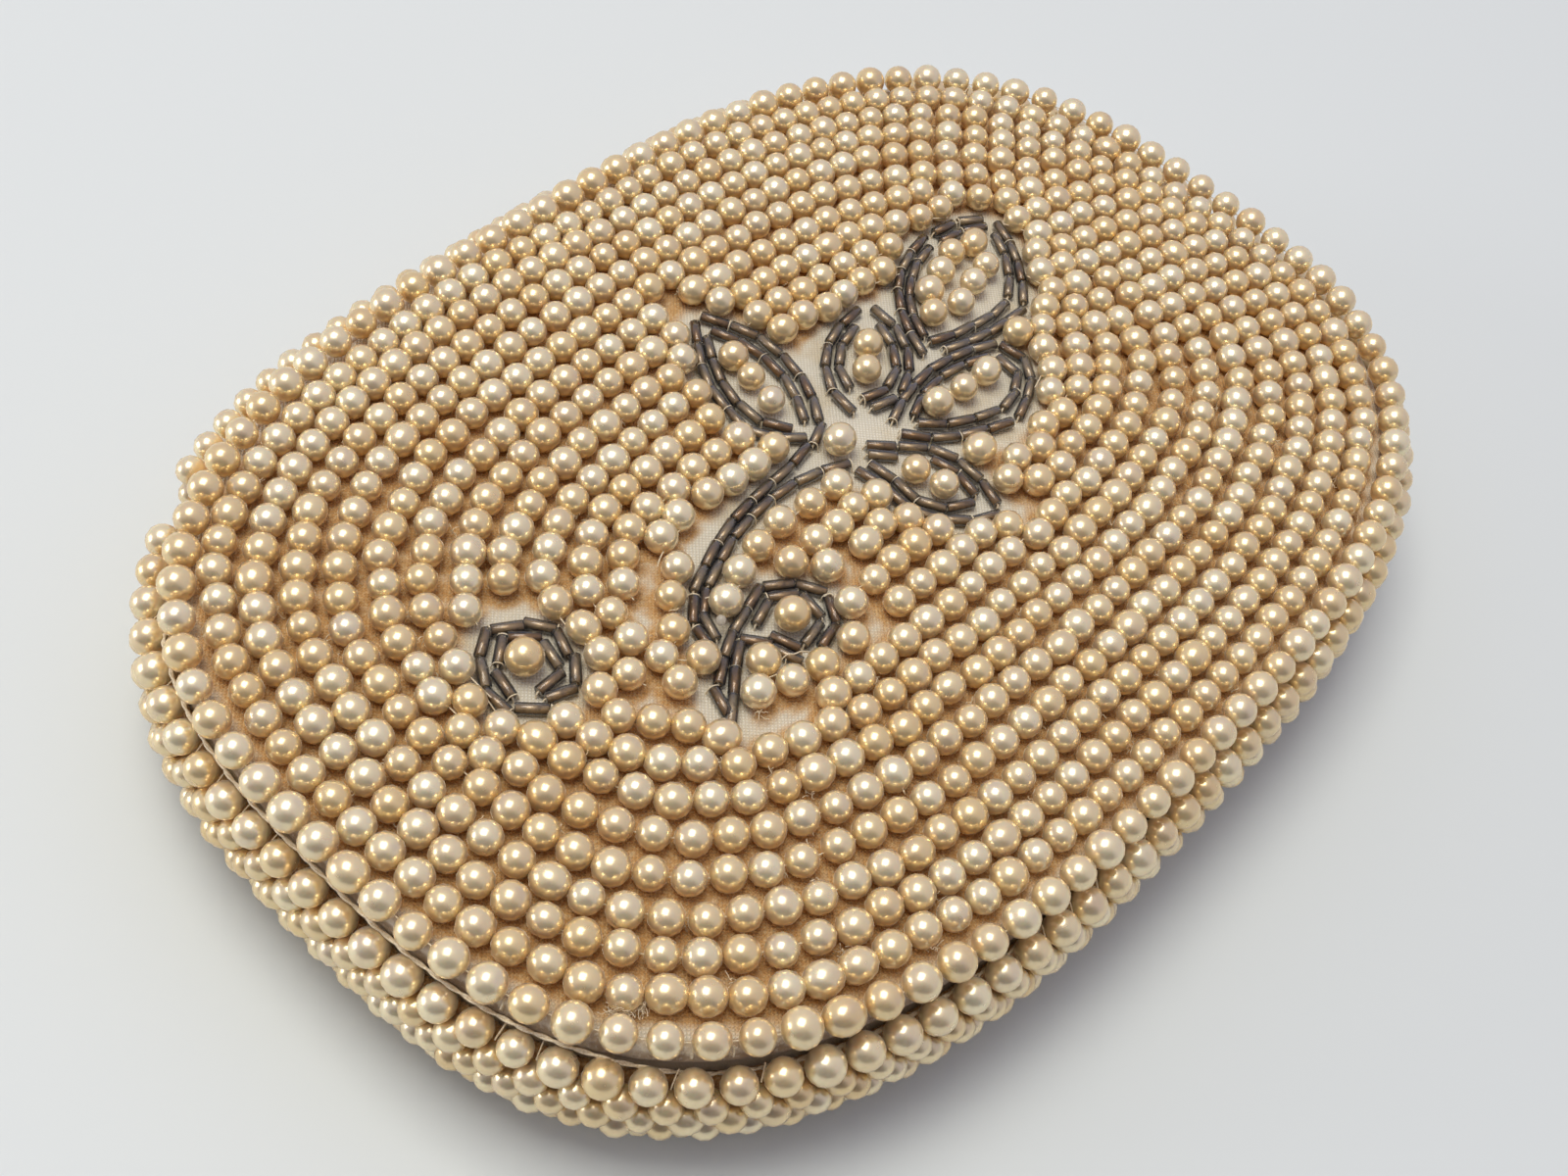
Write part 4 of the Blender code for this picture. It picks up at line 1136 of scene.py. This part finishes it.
def sew_bugle(threads, dice, centre, heading, base):
    """Thread out of both ends of a bugle into the cloth, and now and then one across it."""
    forward = Vector((math.cos(heading), math.sin(heading), 0))
    reach = BUGLE_LENGTH / 2
    for sign in (-1, 1):
        tip = centre + forward * reach * sign
        path = [
            tip - forward * sign * 0.5 * MM,
            tip + forward * sign * 0.12 * MM,
            Vector((tip.x, tip.y, base + 0.2 * MM)) + forward * sign * 0.3 * MM,
            Vector((tip.x, tip.y, base - 0.3 * MM)) + forward * sign * 0.32 * MM,
        ]
        threads.lay(path, STITCH_RADIUS)
        if dice.random() < PLAIN_END_CHANCE:
            continue
        side = Vector((-forward.y, forward.x, 0)) * BUGLE_RADIUS
        joint = tip + forward * sign * dice.uniform(0.05, 0.2) * MM
        crossing = [
            joint - side * 1.1 - UP * BUGLE_RADIUS,
            joint - side * 0.6 + UP * BUGLE_RADIUS * 0.55,
            joint + side * 0.6 + UP * BUGLE_RADIUS * 0.55,
            joint + side * 1.1 - UP * BUGLE_RADIUS,
        ]
        threads.lay(smooth_path(crossing, 3), CROSSING_RADIUS)


def make_bugles(materials, strings):
    """Every bugle bead of the spray, and the sewing thread that holds it down."""
    template = bugle_template()
    count = len(template.vertices)
    for number, (name, runs) in enumerate(strings.items()):
        dice = random.Random(40 + number)
        bm = bmesh.new()
        tints = []
        threads = Threads()
        for start, end in runs:
            middle = (start + end) / 2
            line = end - start
            height = cloth_height(middle) + BUGLE_RADIUS + dice.uniform(0.0, 0.12) * MM
            heading = math.atan2(line.y, line.x) + dice.gauss(0, 0.03)
            move = Matrix.Translation((middle.x, middle.y, height))
            move = move @ Matrix.Rotation(heading, 4, "Z")
            move = move @ Matrix.Rotation(dice.gauss(0, 0.02), 4, "Y")
            move = move @ Matrix.Rotation(dice.uniform(0, math.tau), 4, "X")
            copy = template.copy()
            copy.transform(move)
            bm.from_mesh(copy)
            bpy.data.meshes.remove(copy)
            tints += [dice.random()] * count
            centre = Vector((middle.x, middle.y, height))
            sew_bugle(threads, dice, centre, heading, cloth_height(middle))
        layers = [materials["glass"], materials["bore"]]
        glass = finish_mesh("sewn_" + name, bm, layers, "flap", [name])
        add_numbers(glass, "tint", tints)
        threads.finish(name.replace("bugles", "stitches"), materials["thread"], "flap")
    bpy.data.meshes.remove(template)


def flap_rings():
    """Rings of the flap's cloth: over the dome, round the hem and in under the edge."""
    rings = [ring(-inset, FLAP_TOP + dome(-inset)) for inset in reversed(CLOTH_INSETS)]
    for step in range(HEM_STEPS + 1):
        turn = math.pi / 2 * step / HEM_STEPS
        reach = HEM_EDGE - HEM_ROUND + HEM_ROUND * math.sin(turn)
        rings.append(ring(reach, FLAP_TOP - HEM_ROUND + HEM_ROUND * math.cos(turn)))
    side = FLAP_TOP - HEM_ROUND - FLAP_BASE - HEM_LIP
    for step in range(1, HEM_STEPS + 1):
        bulge = HEM_BULGE * math.sin(math.pi * step / HEM_STEPS)
        rings.append(ring(HEM_EDGE + bulge, FLAP_TOP - HEM_ROUND - side * step / HEM_STEPS))
    rings.append(ring(HEM_EDGE - HEM_LIP, FLAP_BASE))
    rings.append(ring(HEM_REACH - HEM_WIDTH, FLAP_BASE - 0.02 * MM))
    rings.append(ring(HEM_REACH - HEM_DISC_INSET, FLAP_BASE + 0.45 * MM))
    return rings


def make_flap_cloth(materials, strings, spots):
    """The flap's domed cover with its turned hem."""
    bm = bmesh.new()
    draw_skin(bm, flap_rings())
    hem_start = HEM_EDGE - HEM_ROUND * 0.9
    for face in bm.faces:
        middle = face.calc_center_median()
        turned = offset_at(middle.x, middle.y) > hem_start or middle.z < FLAP_TOP - 0.1 * MM
        face.material_index = 1 if turned else 0
    cloths = [materials["ground"], materials["hem"]]
    cloth = finish_mesh("flap_cloth", bm, cloths, "flap", ["flap_cover"])
    shade_flap_cloth(cloth, strings, spots)


def shade_flap_cloth(cloth, strings, spots):
    """Painted warm amber shade near the pearls, none beside the spray, and a worn line along the hem."""
    runs = [run for group in strings.values() for run in group]
    pearls = search_tree([spot for spot, _ in spots])
    warm_shade = []
    for vert in cloth.data.vertices:
        flat = vert.co.to_2d()
        # Share of painted warm shade: none near the bugles, full close to the pearls, half outside the
        # outline
        gap = min(segment_distance(flat, *run) for run in runs)
        share = min(1, max(0, (gap - UNSHADED_REACH) / UNSHADED_FADE))
        near = pearls.find(flat.to_3d())[2]
        share *= min(1, max(0, (FIELD_RADIUS + SHADE_REACH - near) / SHADE_FADE))
        share = share * share * (3 - 2 * share)
        outside = offset_at(vert.co.x, vert.co.y) > 0.5 * MM
        warm_shade.append(share * (0.5 if outside else 1))
    add_numbers(cloth, "warm_shade", warm_shade)
    fold = FLAP_TOP - HEM_ROUND * 0.45
    worn = [max(0, 1 - abs(vert.co.z - fold) / (0.5 * MM)) for vert in cloth.data.vertices]
    add_numbers(cloth, "worn", worn)


def make_flap_satin(materials):
    """The flat satin lining inside the hem."""
    bm = bmesh.new()
    edge = HEM_REACH - FLAP_SATIN_INSET
    rings = [ring(edge, FLAP_BASE + 0.12 * MM)]
    rings += [ring(-inset, FLAP_BASE + 0.1 * MM) for inset in CLOTH_INSETS if inset > -edge]
    draw_skin(bm, rings, False)
    bm.faces.ensure_lookup_table()
    if bm.faces[0].normal.z > 0:
        bmesh.ops.reverse_faces(bm, faces=bm.faces)
    bmesh.ops.solidify(bm, geom=bm.faces[:], thickness=0.25 * MM)
    finish_mesh("flap_satin", bm, [materials["satin"]], "flap", ["flap_lining"])


def make_hem_stitches(materials):
    """Slanted stitches along the lining, and whip stitches from the edge row over the hem."""
    dice = random.Random(13)
    stitches = Threads()
    for spot, direction in walk(outline(HEM_REACH - HEM_STITCH_INSET), 3.2 * MM):
        out = outward(direction)
        start = spot - direction * 0.7 * MM - out * 0.5 * MM
        end = spot + direction * 0.7 * MM + out * 0.5 * MM
        middle = (start + end) / 2
        base = FLAP_BASE + 0.05 * MM
        path = [(*start, base + 0.2 * MM), (*middle, base - 0.15 * MM), (*end, base + 0.1 * MM)]
        stitches.lay([Vector(point) for point in path], STITCH_RADIUS)
    walked = walk(edge_path(), EDGE_PITCH)
    for (first, _), (second, _) in pairs_of(walked):
        middle = (first + second) / 2
        along = (second - first).normalized()
        out = outward(along)
        for _ in range(dice.choice((0, 0, 1))):
            lean = along * dice.gauss(0, 0.5) * MM
            place = middle + along * dice.gauss(0, 0.35) * MM
            reach = HEM_EDGE + 0.12 * MM - edge_shift(middle.y)
            drop = FLAP_TOP - dice.uniform(1.5, 2.4) * MM
            path = [
                (*(place + out * 0.2 * MM), FLAP_TOP + 1.3 * MM),
                (*(place + out * 0.9 * MM + lean * 0.3), FLAP_TOP + 0.15 * MM),
                (*(place + out * (reach - 0.1 * MM) + lean * 0.7), FLAP_TOP - 0.6 * MM),
                (*(place + out * reach + lean), drop),
                (*(place + out * (reach - 0.4 * MM) + lean), drop - 0.4 * MM),
            ]
            radius = dice.uniform(0.1, 0.17) * MM
            stitches.lay(smooth_path([Vector(point) for point in path], 3), radius)
    stitches.finish("hem_stitches", materials["thread"], "flap")


def wall_profile(depth, steps=10):
    """Offsets and heights of the bowl, from its belly up the corner to the straight wall."""
    run = CORNER_RUN + COVER_DEPTH - depth
    rise = CORNER_RISE + COVER_DEPTH - depth
    points = []
    for step in range(steps + 1):
        turn = math.pi / 2 * step / steps
        points.append((CORNER_INSET + run * math.sin(turn), depth + rise * (1 - math.cos(turn))))
    return points


def make_bowl(materials):
    """Cloth of the back, inside and out, up to the seam, and lower where the fold starts."""
    outer = wall_profile(COVER_DEPTH)
    outer.append((outer[-1][0], BODY_TOP - 0.4 * MM))
    outer.append((outer[-1][0] - 0.3 * MM, BODY_TOP))
    inner = wall_profile(COVER_DEPTH + CLOTH_THICKNESS)
    inner.append((inner[-1][0], BODY_TOP))
    rings = [ring(*point) for point in outer + inner[::-1]]
    for spot in (spot for points in rings for spot in points):
        if spot.y > NOTCH_Y:
            spot.z = min(spot.z, FAR_WALL_TOP)
    cloth = skin_piece("back_cloth", rings, [materials["ground"]], "back_cover", True)
    # Painted warm amber shade over the whole back cloth, which lies under the flap and between the pearls
    add_numbers(cloth, "warm_shade", [1.0] * len(cloth.data.vertices))


def panel_ring(inset, height):
    """One ring of the front panel, cut straight at the mouth."""
    spots = outline(PANEL_REACH - inset)
    return [Vector((spot.x, min(spot.y, MOUTH_Y - inset), height)) for spot in spots]


def make_front_satin(materials):
    """The satin front panel, drawn over its board, with a stitched groove near its edge."""
    widest = 48.0
    rings = [panel_ring(inset * MM, POCKET_ROOF) for inset in (widest, 36.0, 24.0, 12.0, 4.0, 0.8)]
    half = (BODY_TOP - POCKET_ROOF) / 2
    for step in range(1, 9):
        turn = math.pi * step / 9
        inset = 0.8 * MM - math.sin(turn) * 0.95 * MM
        rings.append(panel_ring(inset, POCKET_ROOF + half - half * math.cos(turn)))
    for inset, rise in ((0.9, 0.0), (2.0, 0.04), (2.3, -0.08), (2.6, 0.04)):
        rings.append(panel_ring(inset * MM, BODY_TOP + rise * MM))
    inset = 3.4
    while inset < widest:
        rise = 0.24 * (1 - math.exp((2.6 - inset) / 4))
        rings.append(panel_ring(inset * MM, BODY_TOP + rise * MM))
        inset += 1.6
    skin_piece("front_satin", rings, [materials["satin"]], "front_cover")


def make_pocket(materials):
    """The satin pocket, lower under the front panel than behind the mouth."""
    outer = wall_profile(LINING_DEPTH)
    outer.append((outer[-1][0], LINING_TOP - POCKET_LIP))
    outer.append((outer[-1][0] - SATIN_THICKNESS / 2, LINING_TOP))
    inner = wall_profile(POCKET_FLOOR)
    inner.append((inner[-1][0], LINING_TOP - POCKET_LIP))
    rings = [ring(*point) for point in outer + inner[::-1]]
    for spot in (spot for points in rings for spot in points):
        if spot.y < MOUTH_Y:
            spot.z = min(spot.z, POCKET_ROOF)
    skin_piece("pocket_satin", rings, [materials["satin"]], "lining_pocket", True)


def make_lining_stitches(materials):
    """Running stitches in the front panel's groove, and along the pocket behind the mouth."""
    stitches = Threads()
    for spot, direction in walk(panel_ring(2.3 * MM, BODY_TOP), 2.4 * MM):
        half = direction * 0.75 * MM
        path = [spot - half - UP * 0.1 * MM, spot - half * 0.7 + UP * 0.03 * MM]
        path += [spot + half * 0.7 + UP * 0.03 * MM, spot + half - UP * 0.1 * MM]
        stitches.lay(path, LINING_STITCH_RADIUS)
    wall = wall_profile(POCKET_FLOOR)[-1][0]
    far = [point for point in outline(wall - 0.02 * MM) if point.y > MOUTH_Y + 2 * MM]
    for spot, direction in walk(far, 2.4 * MM, False):
        half = direction.to_3d() * 0.75 * MM
        out = outward(direction).to_3d() * 0.1 * MM
        middle = Vector((spot.x, spot.y, LINING_TOP - 0.8 * MM))
        path = [middle - half + out, middle - half * 0.6, middle + half * 0.6, middle + half + out]
        stitches.lay(path, LINING_STITCH_RADIUS)
    stitches.finish("lining_stitches", materials["thread"], "root")


def make_snap(materials):
    """The press stud's turned socket and stud, and the spring in the socket."""
    centre = Vector((0, STUD_Y, 0))
    turned = (
        ("turned_socket", "root", SOCKET_PROFILE, SOCKET_BASE, "snap_socket"),
        ("turned_stud", "flap", STUD_PROFILE, STUD_TOP, "snap_stud"),
    )
    for name, body, profile, level, node in turned:
        bm = bmesh.new()
        revolve(bm, [(radius * MM, level + rise * MM) for radius, rise in profile], centre)
        finish_mesh(name, bm, [materials["nickel"]], body, [node])

    wire = Threads(2)
    turns = [math.radians(25 + step * 10) for step in range(32)]
    level = SOCKET_BASE + SPRING_RISE
    loop = [
        centre + Vector((math.cos(turn) * SPRING_RADIUS, math.sin(turn) * SPRING_RADIUS, level))
        for turn in turns
    ]
    wire.lay(loop, SPRING_WIRE_RADIUS)
    wire.finish("spring_wire", materials["nickel"], "root", ["snap_spring"])


def make_lashings(materials):
    """Four groups of five strands that sew the socket and the stud down."""
    centre = Vector((0, STUD_Y, 0))
    dice = random.Random(15)
    lashings = (
        ("socket_lashing", "root", SOCKET_BASE, 1, SOCKET_RADIUS),
        ("stud_lashing", "flap", STUD_TOP, -1, SOCKET_RADIUS - 0.4 * MM),
    )
    for name, body, level, sign, radius in lashings:
        threads = Threads()
        for quarter in range(4):
            for strand in range(5):
                turn = math.pi * (quarter + 0.5) / 2 + (strand - 2) * 0.055 + dice.gauss(0, 0.01)
                out = Vector((math.cos(turn), math.sin(turn), 0))
                path = []
                for reach, rise in LASHING_PATH:
                    place = centre + out * (radius + reach * MM)
                    path.append(Vector((place.x, place.y, level + sign * rise * MM)))
                threads.lay(smooth_path(path, 3), LINING_STITCH_RADIUS)
        threads.finish(name, materials["thread"], body)


def wall_rows():
    """Offset, height and outward tilt of each row of pearls on the walls."""
    radius = PEARL_RADIUS
    points = wall_profile(radius, 40)
    top = RIM_Z - RIM_DROP
    points.append((points[-1][0], top))
    path = [Vector(point) for point in points[::-1]]
    rows = []
    for spot, direction in walk(path, 0, False, round(run_length(path) / WALL_PITCH) + 1):
        tilt = math.atan2(-direction.x, -direction.y)
        rows.append((spot.x, spot.y, tilt))
    return rows


def lattice_row(offset, number):
    """Places of one row round the bag, each row set half a step from its neighbours."""
    count = round(sum((b - a).length for a, b in pairs_of(outline(RIM_REACH))) / EDGE_PITCH)
    return walk(outline(offset), 0, True, count * 2)[number % 2 :: 2]


def make_wall_pearls(materials):
    """Rows of pearls round the walls and over the belly, and the two rows on the fold."""
    dice = random.Random(5)
    rows = wall_rows()
    beads = []
    for number, (offset, height, tilt) in enumerate(rows):
        for spot, direction in lattice_row(offset, number + 1):
            if spot.y > NOTCH_Y and height > FAR_WALL_TOP - PEARL_RADIUS / 2:
                continue
            out = outward(direction).to_3d()
            up = (out * math.cos(tilt) - UP * math.sin(tilt)).normalized()
            shift = dice.gauss(0, 0.1) * MM
            centre = Vector((spot.x, spot.y, height + shift))
            beads.append((centre, PEARL_RADIUS, direction.to_3d(), up))
    string_pearls("wall_rows", beads, materials["pearl"], "root", "wall_pearls", 2, 31)

    beads = []
    inset = -rows[-1][0]
    number = 1
    while inset + number * ROW_PITCH < HALF_WIDTH - 1 * MM:
        offset = -inset - number * ROW_PITCH
        for spot, direction in walk(outline(offset), PEARL_PITCH):
            centre = Vector((spot.x, spot.y, PEARL_RADIUS))
            beads.append((centre, PEARL_RADIUS * 0.985, direction.to_3d(), -UP))
        number += 1
    string_pearls("belly_rows", beads, materials["pearl"], "root", "belly_pearls", 2, 32)

    for number, node in enumerate(("fold_low_pearls", "fold_high_pearls")):
        low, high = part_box(node)
        offset = RIM_REACH + EDGE_RADIUS - PEARL_RADIUS
        side = [point for point in outline(offset) if point.y > low.y + PEARL_RADIUS]
        beads = []
        for spot, direction in walk(side, PEARL_PITCH, False):
            centre = Vector((spot.x, spot.y, (low.z + high.z) / 2))
            out = outward(direction).to_3d()
            beads.append((centre, PEARL_RADIUS * 0.99, direction.to_3d(), out))
        string_pearls("sewn_" + node, beads, materials["pearl"], "root", node, 2, 33 + number)


def near_side(offset):
    """The outline from the left notch round the near side to the right notch."""
    points = [point for point in outline(offset, OUTLINE_STEPS * 2) if point.y < NOTCH_Y]
    start = 0
    for index, point in enumerate(points):
        if (point - points[index - 1]).length > 5 * MM:
            start = index
    return points[start:] + points[:start]


def make_rim(materials):
    """The pearl edging of the seam, and the thread that binds it."""
    dice = random.Random(9)
    beads = []
    row = [entry for entry in lattice_row(SEAM_REACH, 0) if entry[0].y < NOTCH_Y]
    first = max(range(len(row)), key=lambda index: (row[index][0] - row[index - 1][0]).length)
    for spot, direction in row[first:] + row[:first]:
        centre = Vector((spot.x, spot.y, RIM_Z + (0.3 + dice.gauss(0, 0.12)) * MM))
        beads.append((centre, EDGE_RADIUS, direction.to_3d(), UP))
    string_pearls("rim_row_pearls", beads, materials["pearl"], "root", "rim_pearls", 3, 34)
    make_seam_thread(materials, dice, [bead[0] for bead in beads])


def make_seam_thread(materials, dice, centres):
    """Two plies twisted along the seam, and whip stitches between the edging's pearls."""
    threads = Threads()
    line = walk(near_side(HEM_REACH + 0.35 * MM), PLY_STEP, False)
    base = RIM_Z - 0.7 * MM
    for ply in range(2):
        strand = []
        for index, (spot, direction) in enumerate(line):
            turn = index * 0.7 + math.pi * ply
            out = outward(direction).to_3d()
            wave = math.sin(index * PLY_STEP * math.tau / EDGE_PITCH + 0.6)
            lift = min(1, max(0, (-LIFT_START - spot.x) / LIFT_RUN))
            height = base + (lift * LIFT_RISE + wave * 0.22) * MM
            centre = Vector((spot.x, spot.y, height)) + out * (wave * 0.12 + lift * 0.3) * MM
            strand.append(centre + (out * math.cos(turn) + UP * math.sin(turn)) * 0.13 * MM)
        threads.lay(strand, PLY_RADIUS)
    for first, second in zip(centres, centres[1:]):
        middle = (first + second) / 2
        inward = Vector((-middle.x, -middle.y, 0)).normalized()
        along = (second - first).normalized()
        for _ in range(dice.choice((0, 0, 1, 1))):
            lean = along * dice.gauss(0, 0.35) * MM
            start = middle + inward * 2.3 * MM
            path = [
                Vector((start.x, start.y, base + 0.3 * MM)) + lean,
                middle + inward * 1.7 * MM + lean * 0.6 + UP * dice.uniform(0.7, 1.0) * MM,
                middle + inward * 0.9 * MM + lean * 0.3 + UP * dice.uniform(0.1, 0.4) * MM,
                middle - UP * dice.uniform(0.3, 0.7) * MM,
            ]
            threads.lay(smooth_path(path, 4), dice.uniform(0.07, 0.11) * MM)
    threads.finish("seam_thread", materials["thread"], "root", ["rim_thread"])


def make_sewing(materials, spots):
    """Fine thread that runs from pearl to pearl through their holes."""
    threads = Threads(0)
    edge_row = walk(edge_path(), EDGE_PITCH)
    holes = search_tree([spot for spot, _ in spots + edge_row])
    rows = [(edge_path(), FLAP_TOP + EDGE_RADIUS)]
    for inset in FIELD_INSETS:
        offset = -inset * MM
        rows.append((outline(offset), FLAP_TOP + dome(offset) + FIELD_RADIUS * 0.85))
    for line, level in rows:
        path = []
        for spot, _ in walk(line, PEARL_PITCH / 4):
            if holes.find(spot.to_3d())[2] < FIELD_RADIUS * 1.2:
                path.append(Vector((spot.x, spot.y, level)))
                continue
            if len(path) > 4:
                threads.lay(path, FINE_THREAD_RADIUS)
            path = []
        if len(path) > 4:
            threads.lay(path, FINE_THREAD_RADIUS)
    threads.finish("field_sewing", materials["thread"], "flap")


def wisp(dice, start, reach, count=4):
    """A short curled fibre."""
    path = [start]
    heading = Vector((dice.gauss(0, 1), dice.gauss(0, 1), dice.gauss(0.5, 0.7))).normalized()
    for _ in range(count):
        heading = (heading + Vector([dice.gauss(0, 0.5) for _ in range(3)])).normalized()
        path.append(path[-1] + heading * reach / count)
    return path


def make_fuzz(materials, spots):
    """Wisps of thread that stand up between the pearls, loose ends, lint and a drop of glue."""
    dice = random.Random(17)
    threads = Threads(0)
    for spot, _ in spots:
        if dice.random() > 0.2:
            continue
        turn = dice.uniform(0, math.tau)
        gap = spot + Vector((math.cos(turn), math.sin(turn))) * FIELD_RADIUS * 1.12
        level = cloth_height(gap)
        for _ in range(dice.randrange(3, 7)):
            start = Vector((gap.x, gap.y, level + dice.uniform(0.4, 1.9) * MM))
            start += Vector((dice.gauss(0, 0.25), dice.gauss(0, 0.25), 0)) * MM
            threads.lay(wisp(dice, start, dice.uniform(0.7, 1.5) * MM), dice.uniform(0.04, 0.07) * MM)
    for route in LOOSE_ENDS:
        path = []
        for x, y, rise in route:
            spot = Vector((x, y)) * MM
            path.append(Vector((spot.x, spot.y, cloth_height(spot) + rise * MM)))
        threads.lay(smooth_path(path, 6), FINE_THREAD_RADIUS)
    lint = smooth_path([Vector(point) * MM for point in LINT], 12)
    for spot in lint:
        for _ in range(8):
            start = Vector((spot.x, spot.y, FLAP_TOP + dice.uniform(0.6, 2.2) * MM))
            start += Vector((dice.gauss(0, 0.3), dice.gauss(0, 0.3), 0)) * MM
            threads.lay(wisp(dice, start, dice.uniform(0.8, 2.0) * MM), dice.uniform(0.03, 0.05) * MM)
    threads.finish("loose_fibres", materials["thread"], "flap")

    bm = bmesh.new()
    spot = Vector(GLUE_DROP) * MM
    centre = Vector((spot.x, spot.y, cloth_height(spot) + 2.2 * MM))
    bmesh.ops.create_uvsphere(bm, u_segments=16, v_segments=10, radius=0.7 * MM)
    bmesh.ops.translate(bm, verts=bm.verts, vec=centre)
    finish_mesh("glue_drop", bm, [materials["glue"]], "flap")


def make_fold(materials):
    """The strip of cloth that joins the back to the flap at the hinge."""
    side = [point for point in outline(WALL_REACH) if point.y > NOTCH_Y]
    top = FLAP_TOP - 0.6 * MM
    base = FAR_WALL_TOP - 0.6 * MM
    rows = 14
    bm = bmesh.new()
    bmesh.ops.create_grid(bm, x_segments=len(side) - 1, y_segments=rows, size=1)
    for vert in bm.verts:
        column = round((vert.co.x + 1) / 2 * (len(side) - 1))
        row = round((vert.co.y + 1) / 2 * rows)
        height = base + (top - base) * row / rows
        share = max(0, (height - FLAP_BASE) / (top - FLAP_BASE))
        vert.co = (side[column].x, side[column].y - share * share * 0.6 * MM, height)
    bm.normal_update()
    bm.faces.ensure_lookup_table()
    if bm.faces[0].normal.y < 0:
        bmesh.ops.reverse_faces(bm, faces=bm.faces)
    outside = set(bm.faces)
    bmesh.ops.solidify(bm, geom=bm.faces[:], thickness=CLOTH_THICKNESS)
    for face in bm.faces:
        face.material_index = 0 if face in outside else 1
    bmesh.ops.recalc_face_normals(bm, faces=bm.faces)
    cloths = [materials["ground"], materials["satin"]]
    piece = finish_mesh("fold_strip", bm, cloths, None)
    # Painted warm amber shade over most of the fold strip
    add_numbers(piece, "warm_shade", [0.8] * len(piece.data.vertices))
    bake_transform(piece)
    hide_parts("fold_cloth")


def lay_table():
    """The pale table top under the bag."""
    bm = bmesh.new()
    bmesh.ops.create_grid(bm, x_segments=1, y_segments=1, size=3.0)
    floor = finish_mesh("table_top", bm, [paint_floor()], None, smooth=False)


def hang_lamps():
    """Soft rectangular lamps that face the bag."""
    for name, place, distance, size, power, colour in LAMPS:
        direction = Vector(place)
        light = bpy.data.lights.new(name, "AREA")
        light.shape = "RECTANGLE"
        light.size, light.size_y = size
        light.energy = power
        light.color = colour
        thing = bpy.data.objects.new(name, light)
        thing.location = direction.normalized() * distance
        thing.rotation_euler = direction.to_track_quat("Z", "Y").to_euler()
        thing.visible_camera = False
        bpy.context.scene.collection.objects.link(thing)


def place_camera():
    """The camera at the photographed angle."""
    lens = bpy.data.cameras.new("photo_camera")
    lens.lens = CAMERA_LENS
    lens.sensor_width = SENSOR_WIDTH
    lens.clip_start = 0.01
    camera = bpy.data.objects.new("photo_camera", lens)
    turn = Matrix((CAMERA_RIGHT, CAMERA_UP, CAMERA_BACK)).transposed().to_4x4()
    camera.matrix_world = Matrix.Translation(CAMERA_PLACE) @ turn
    bpy.context.scene.collection.objects.link(camera)
    bpy.context.scene.camera = camera
    bpy.context.scene.view_settings.view_transform = "Standard"


def dress_nodes(materials):
    """Millboard on the stiffening boards, which the cloth hides."""
    for node in ("front_board", "belly_board", "flap_board"):
        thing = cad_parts[node]
        thing.data.materials.clear()
        thing.data.materials.append(materials["board"])


def main():
    """Dress the bag, then set the table, the lamps, the room and the camera."""
    materials = {
        "pearl": paint_pearl(),
        "ground": paint_ground(),
        "hem": paint_hem(),
        "satin": paint_satin(),
        "board": paint_board(),
        "thread": paint_thread(),
        "glass": paint_glass(),
        "bore": paint_bore(),
        "nickel": paint_nickel(),
        "glue": paint_glue(),
    }
    strings = bugle_runs()
    spots = field_spots(strings)
    make_bowl(materials)
    make_wall_pearls(materials)
    make_rim(materials)
    make_fold(materials)
    make_flap_cloth(materials, strings, spots)
    make_flap_satin(materials)
    make_hem_stitches(materials)
    make_flap_pearls(materials, spots)
    make_bugles(materials, strings)
    make_sewing(materials, spots)
    make_fuzz(materials, spots)
    make_front_satin(materials)
    make_pocket(materials)
    make_lining_stitches(materials)
    make_snap(materials)
    make_lashings(materials)
    dress_nodes(materials)
    lay_table()
    hang_lamps()
    paint_room()
    place_camera()


main()
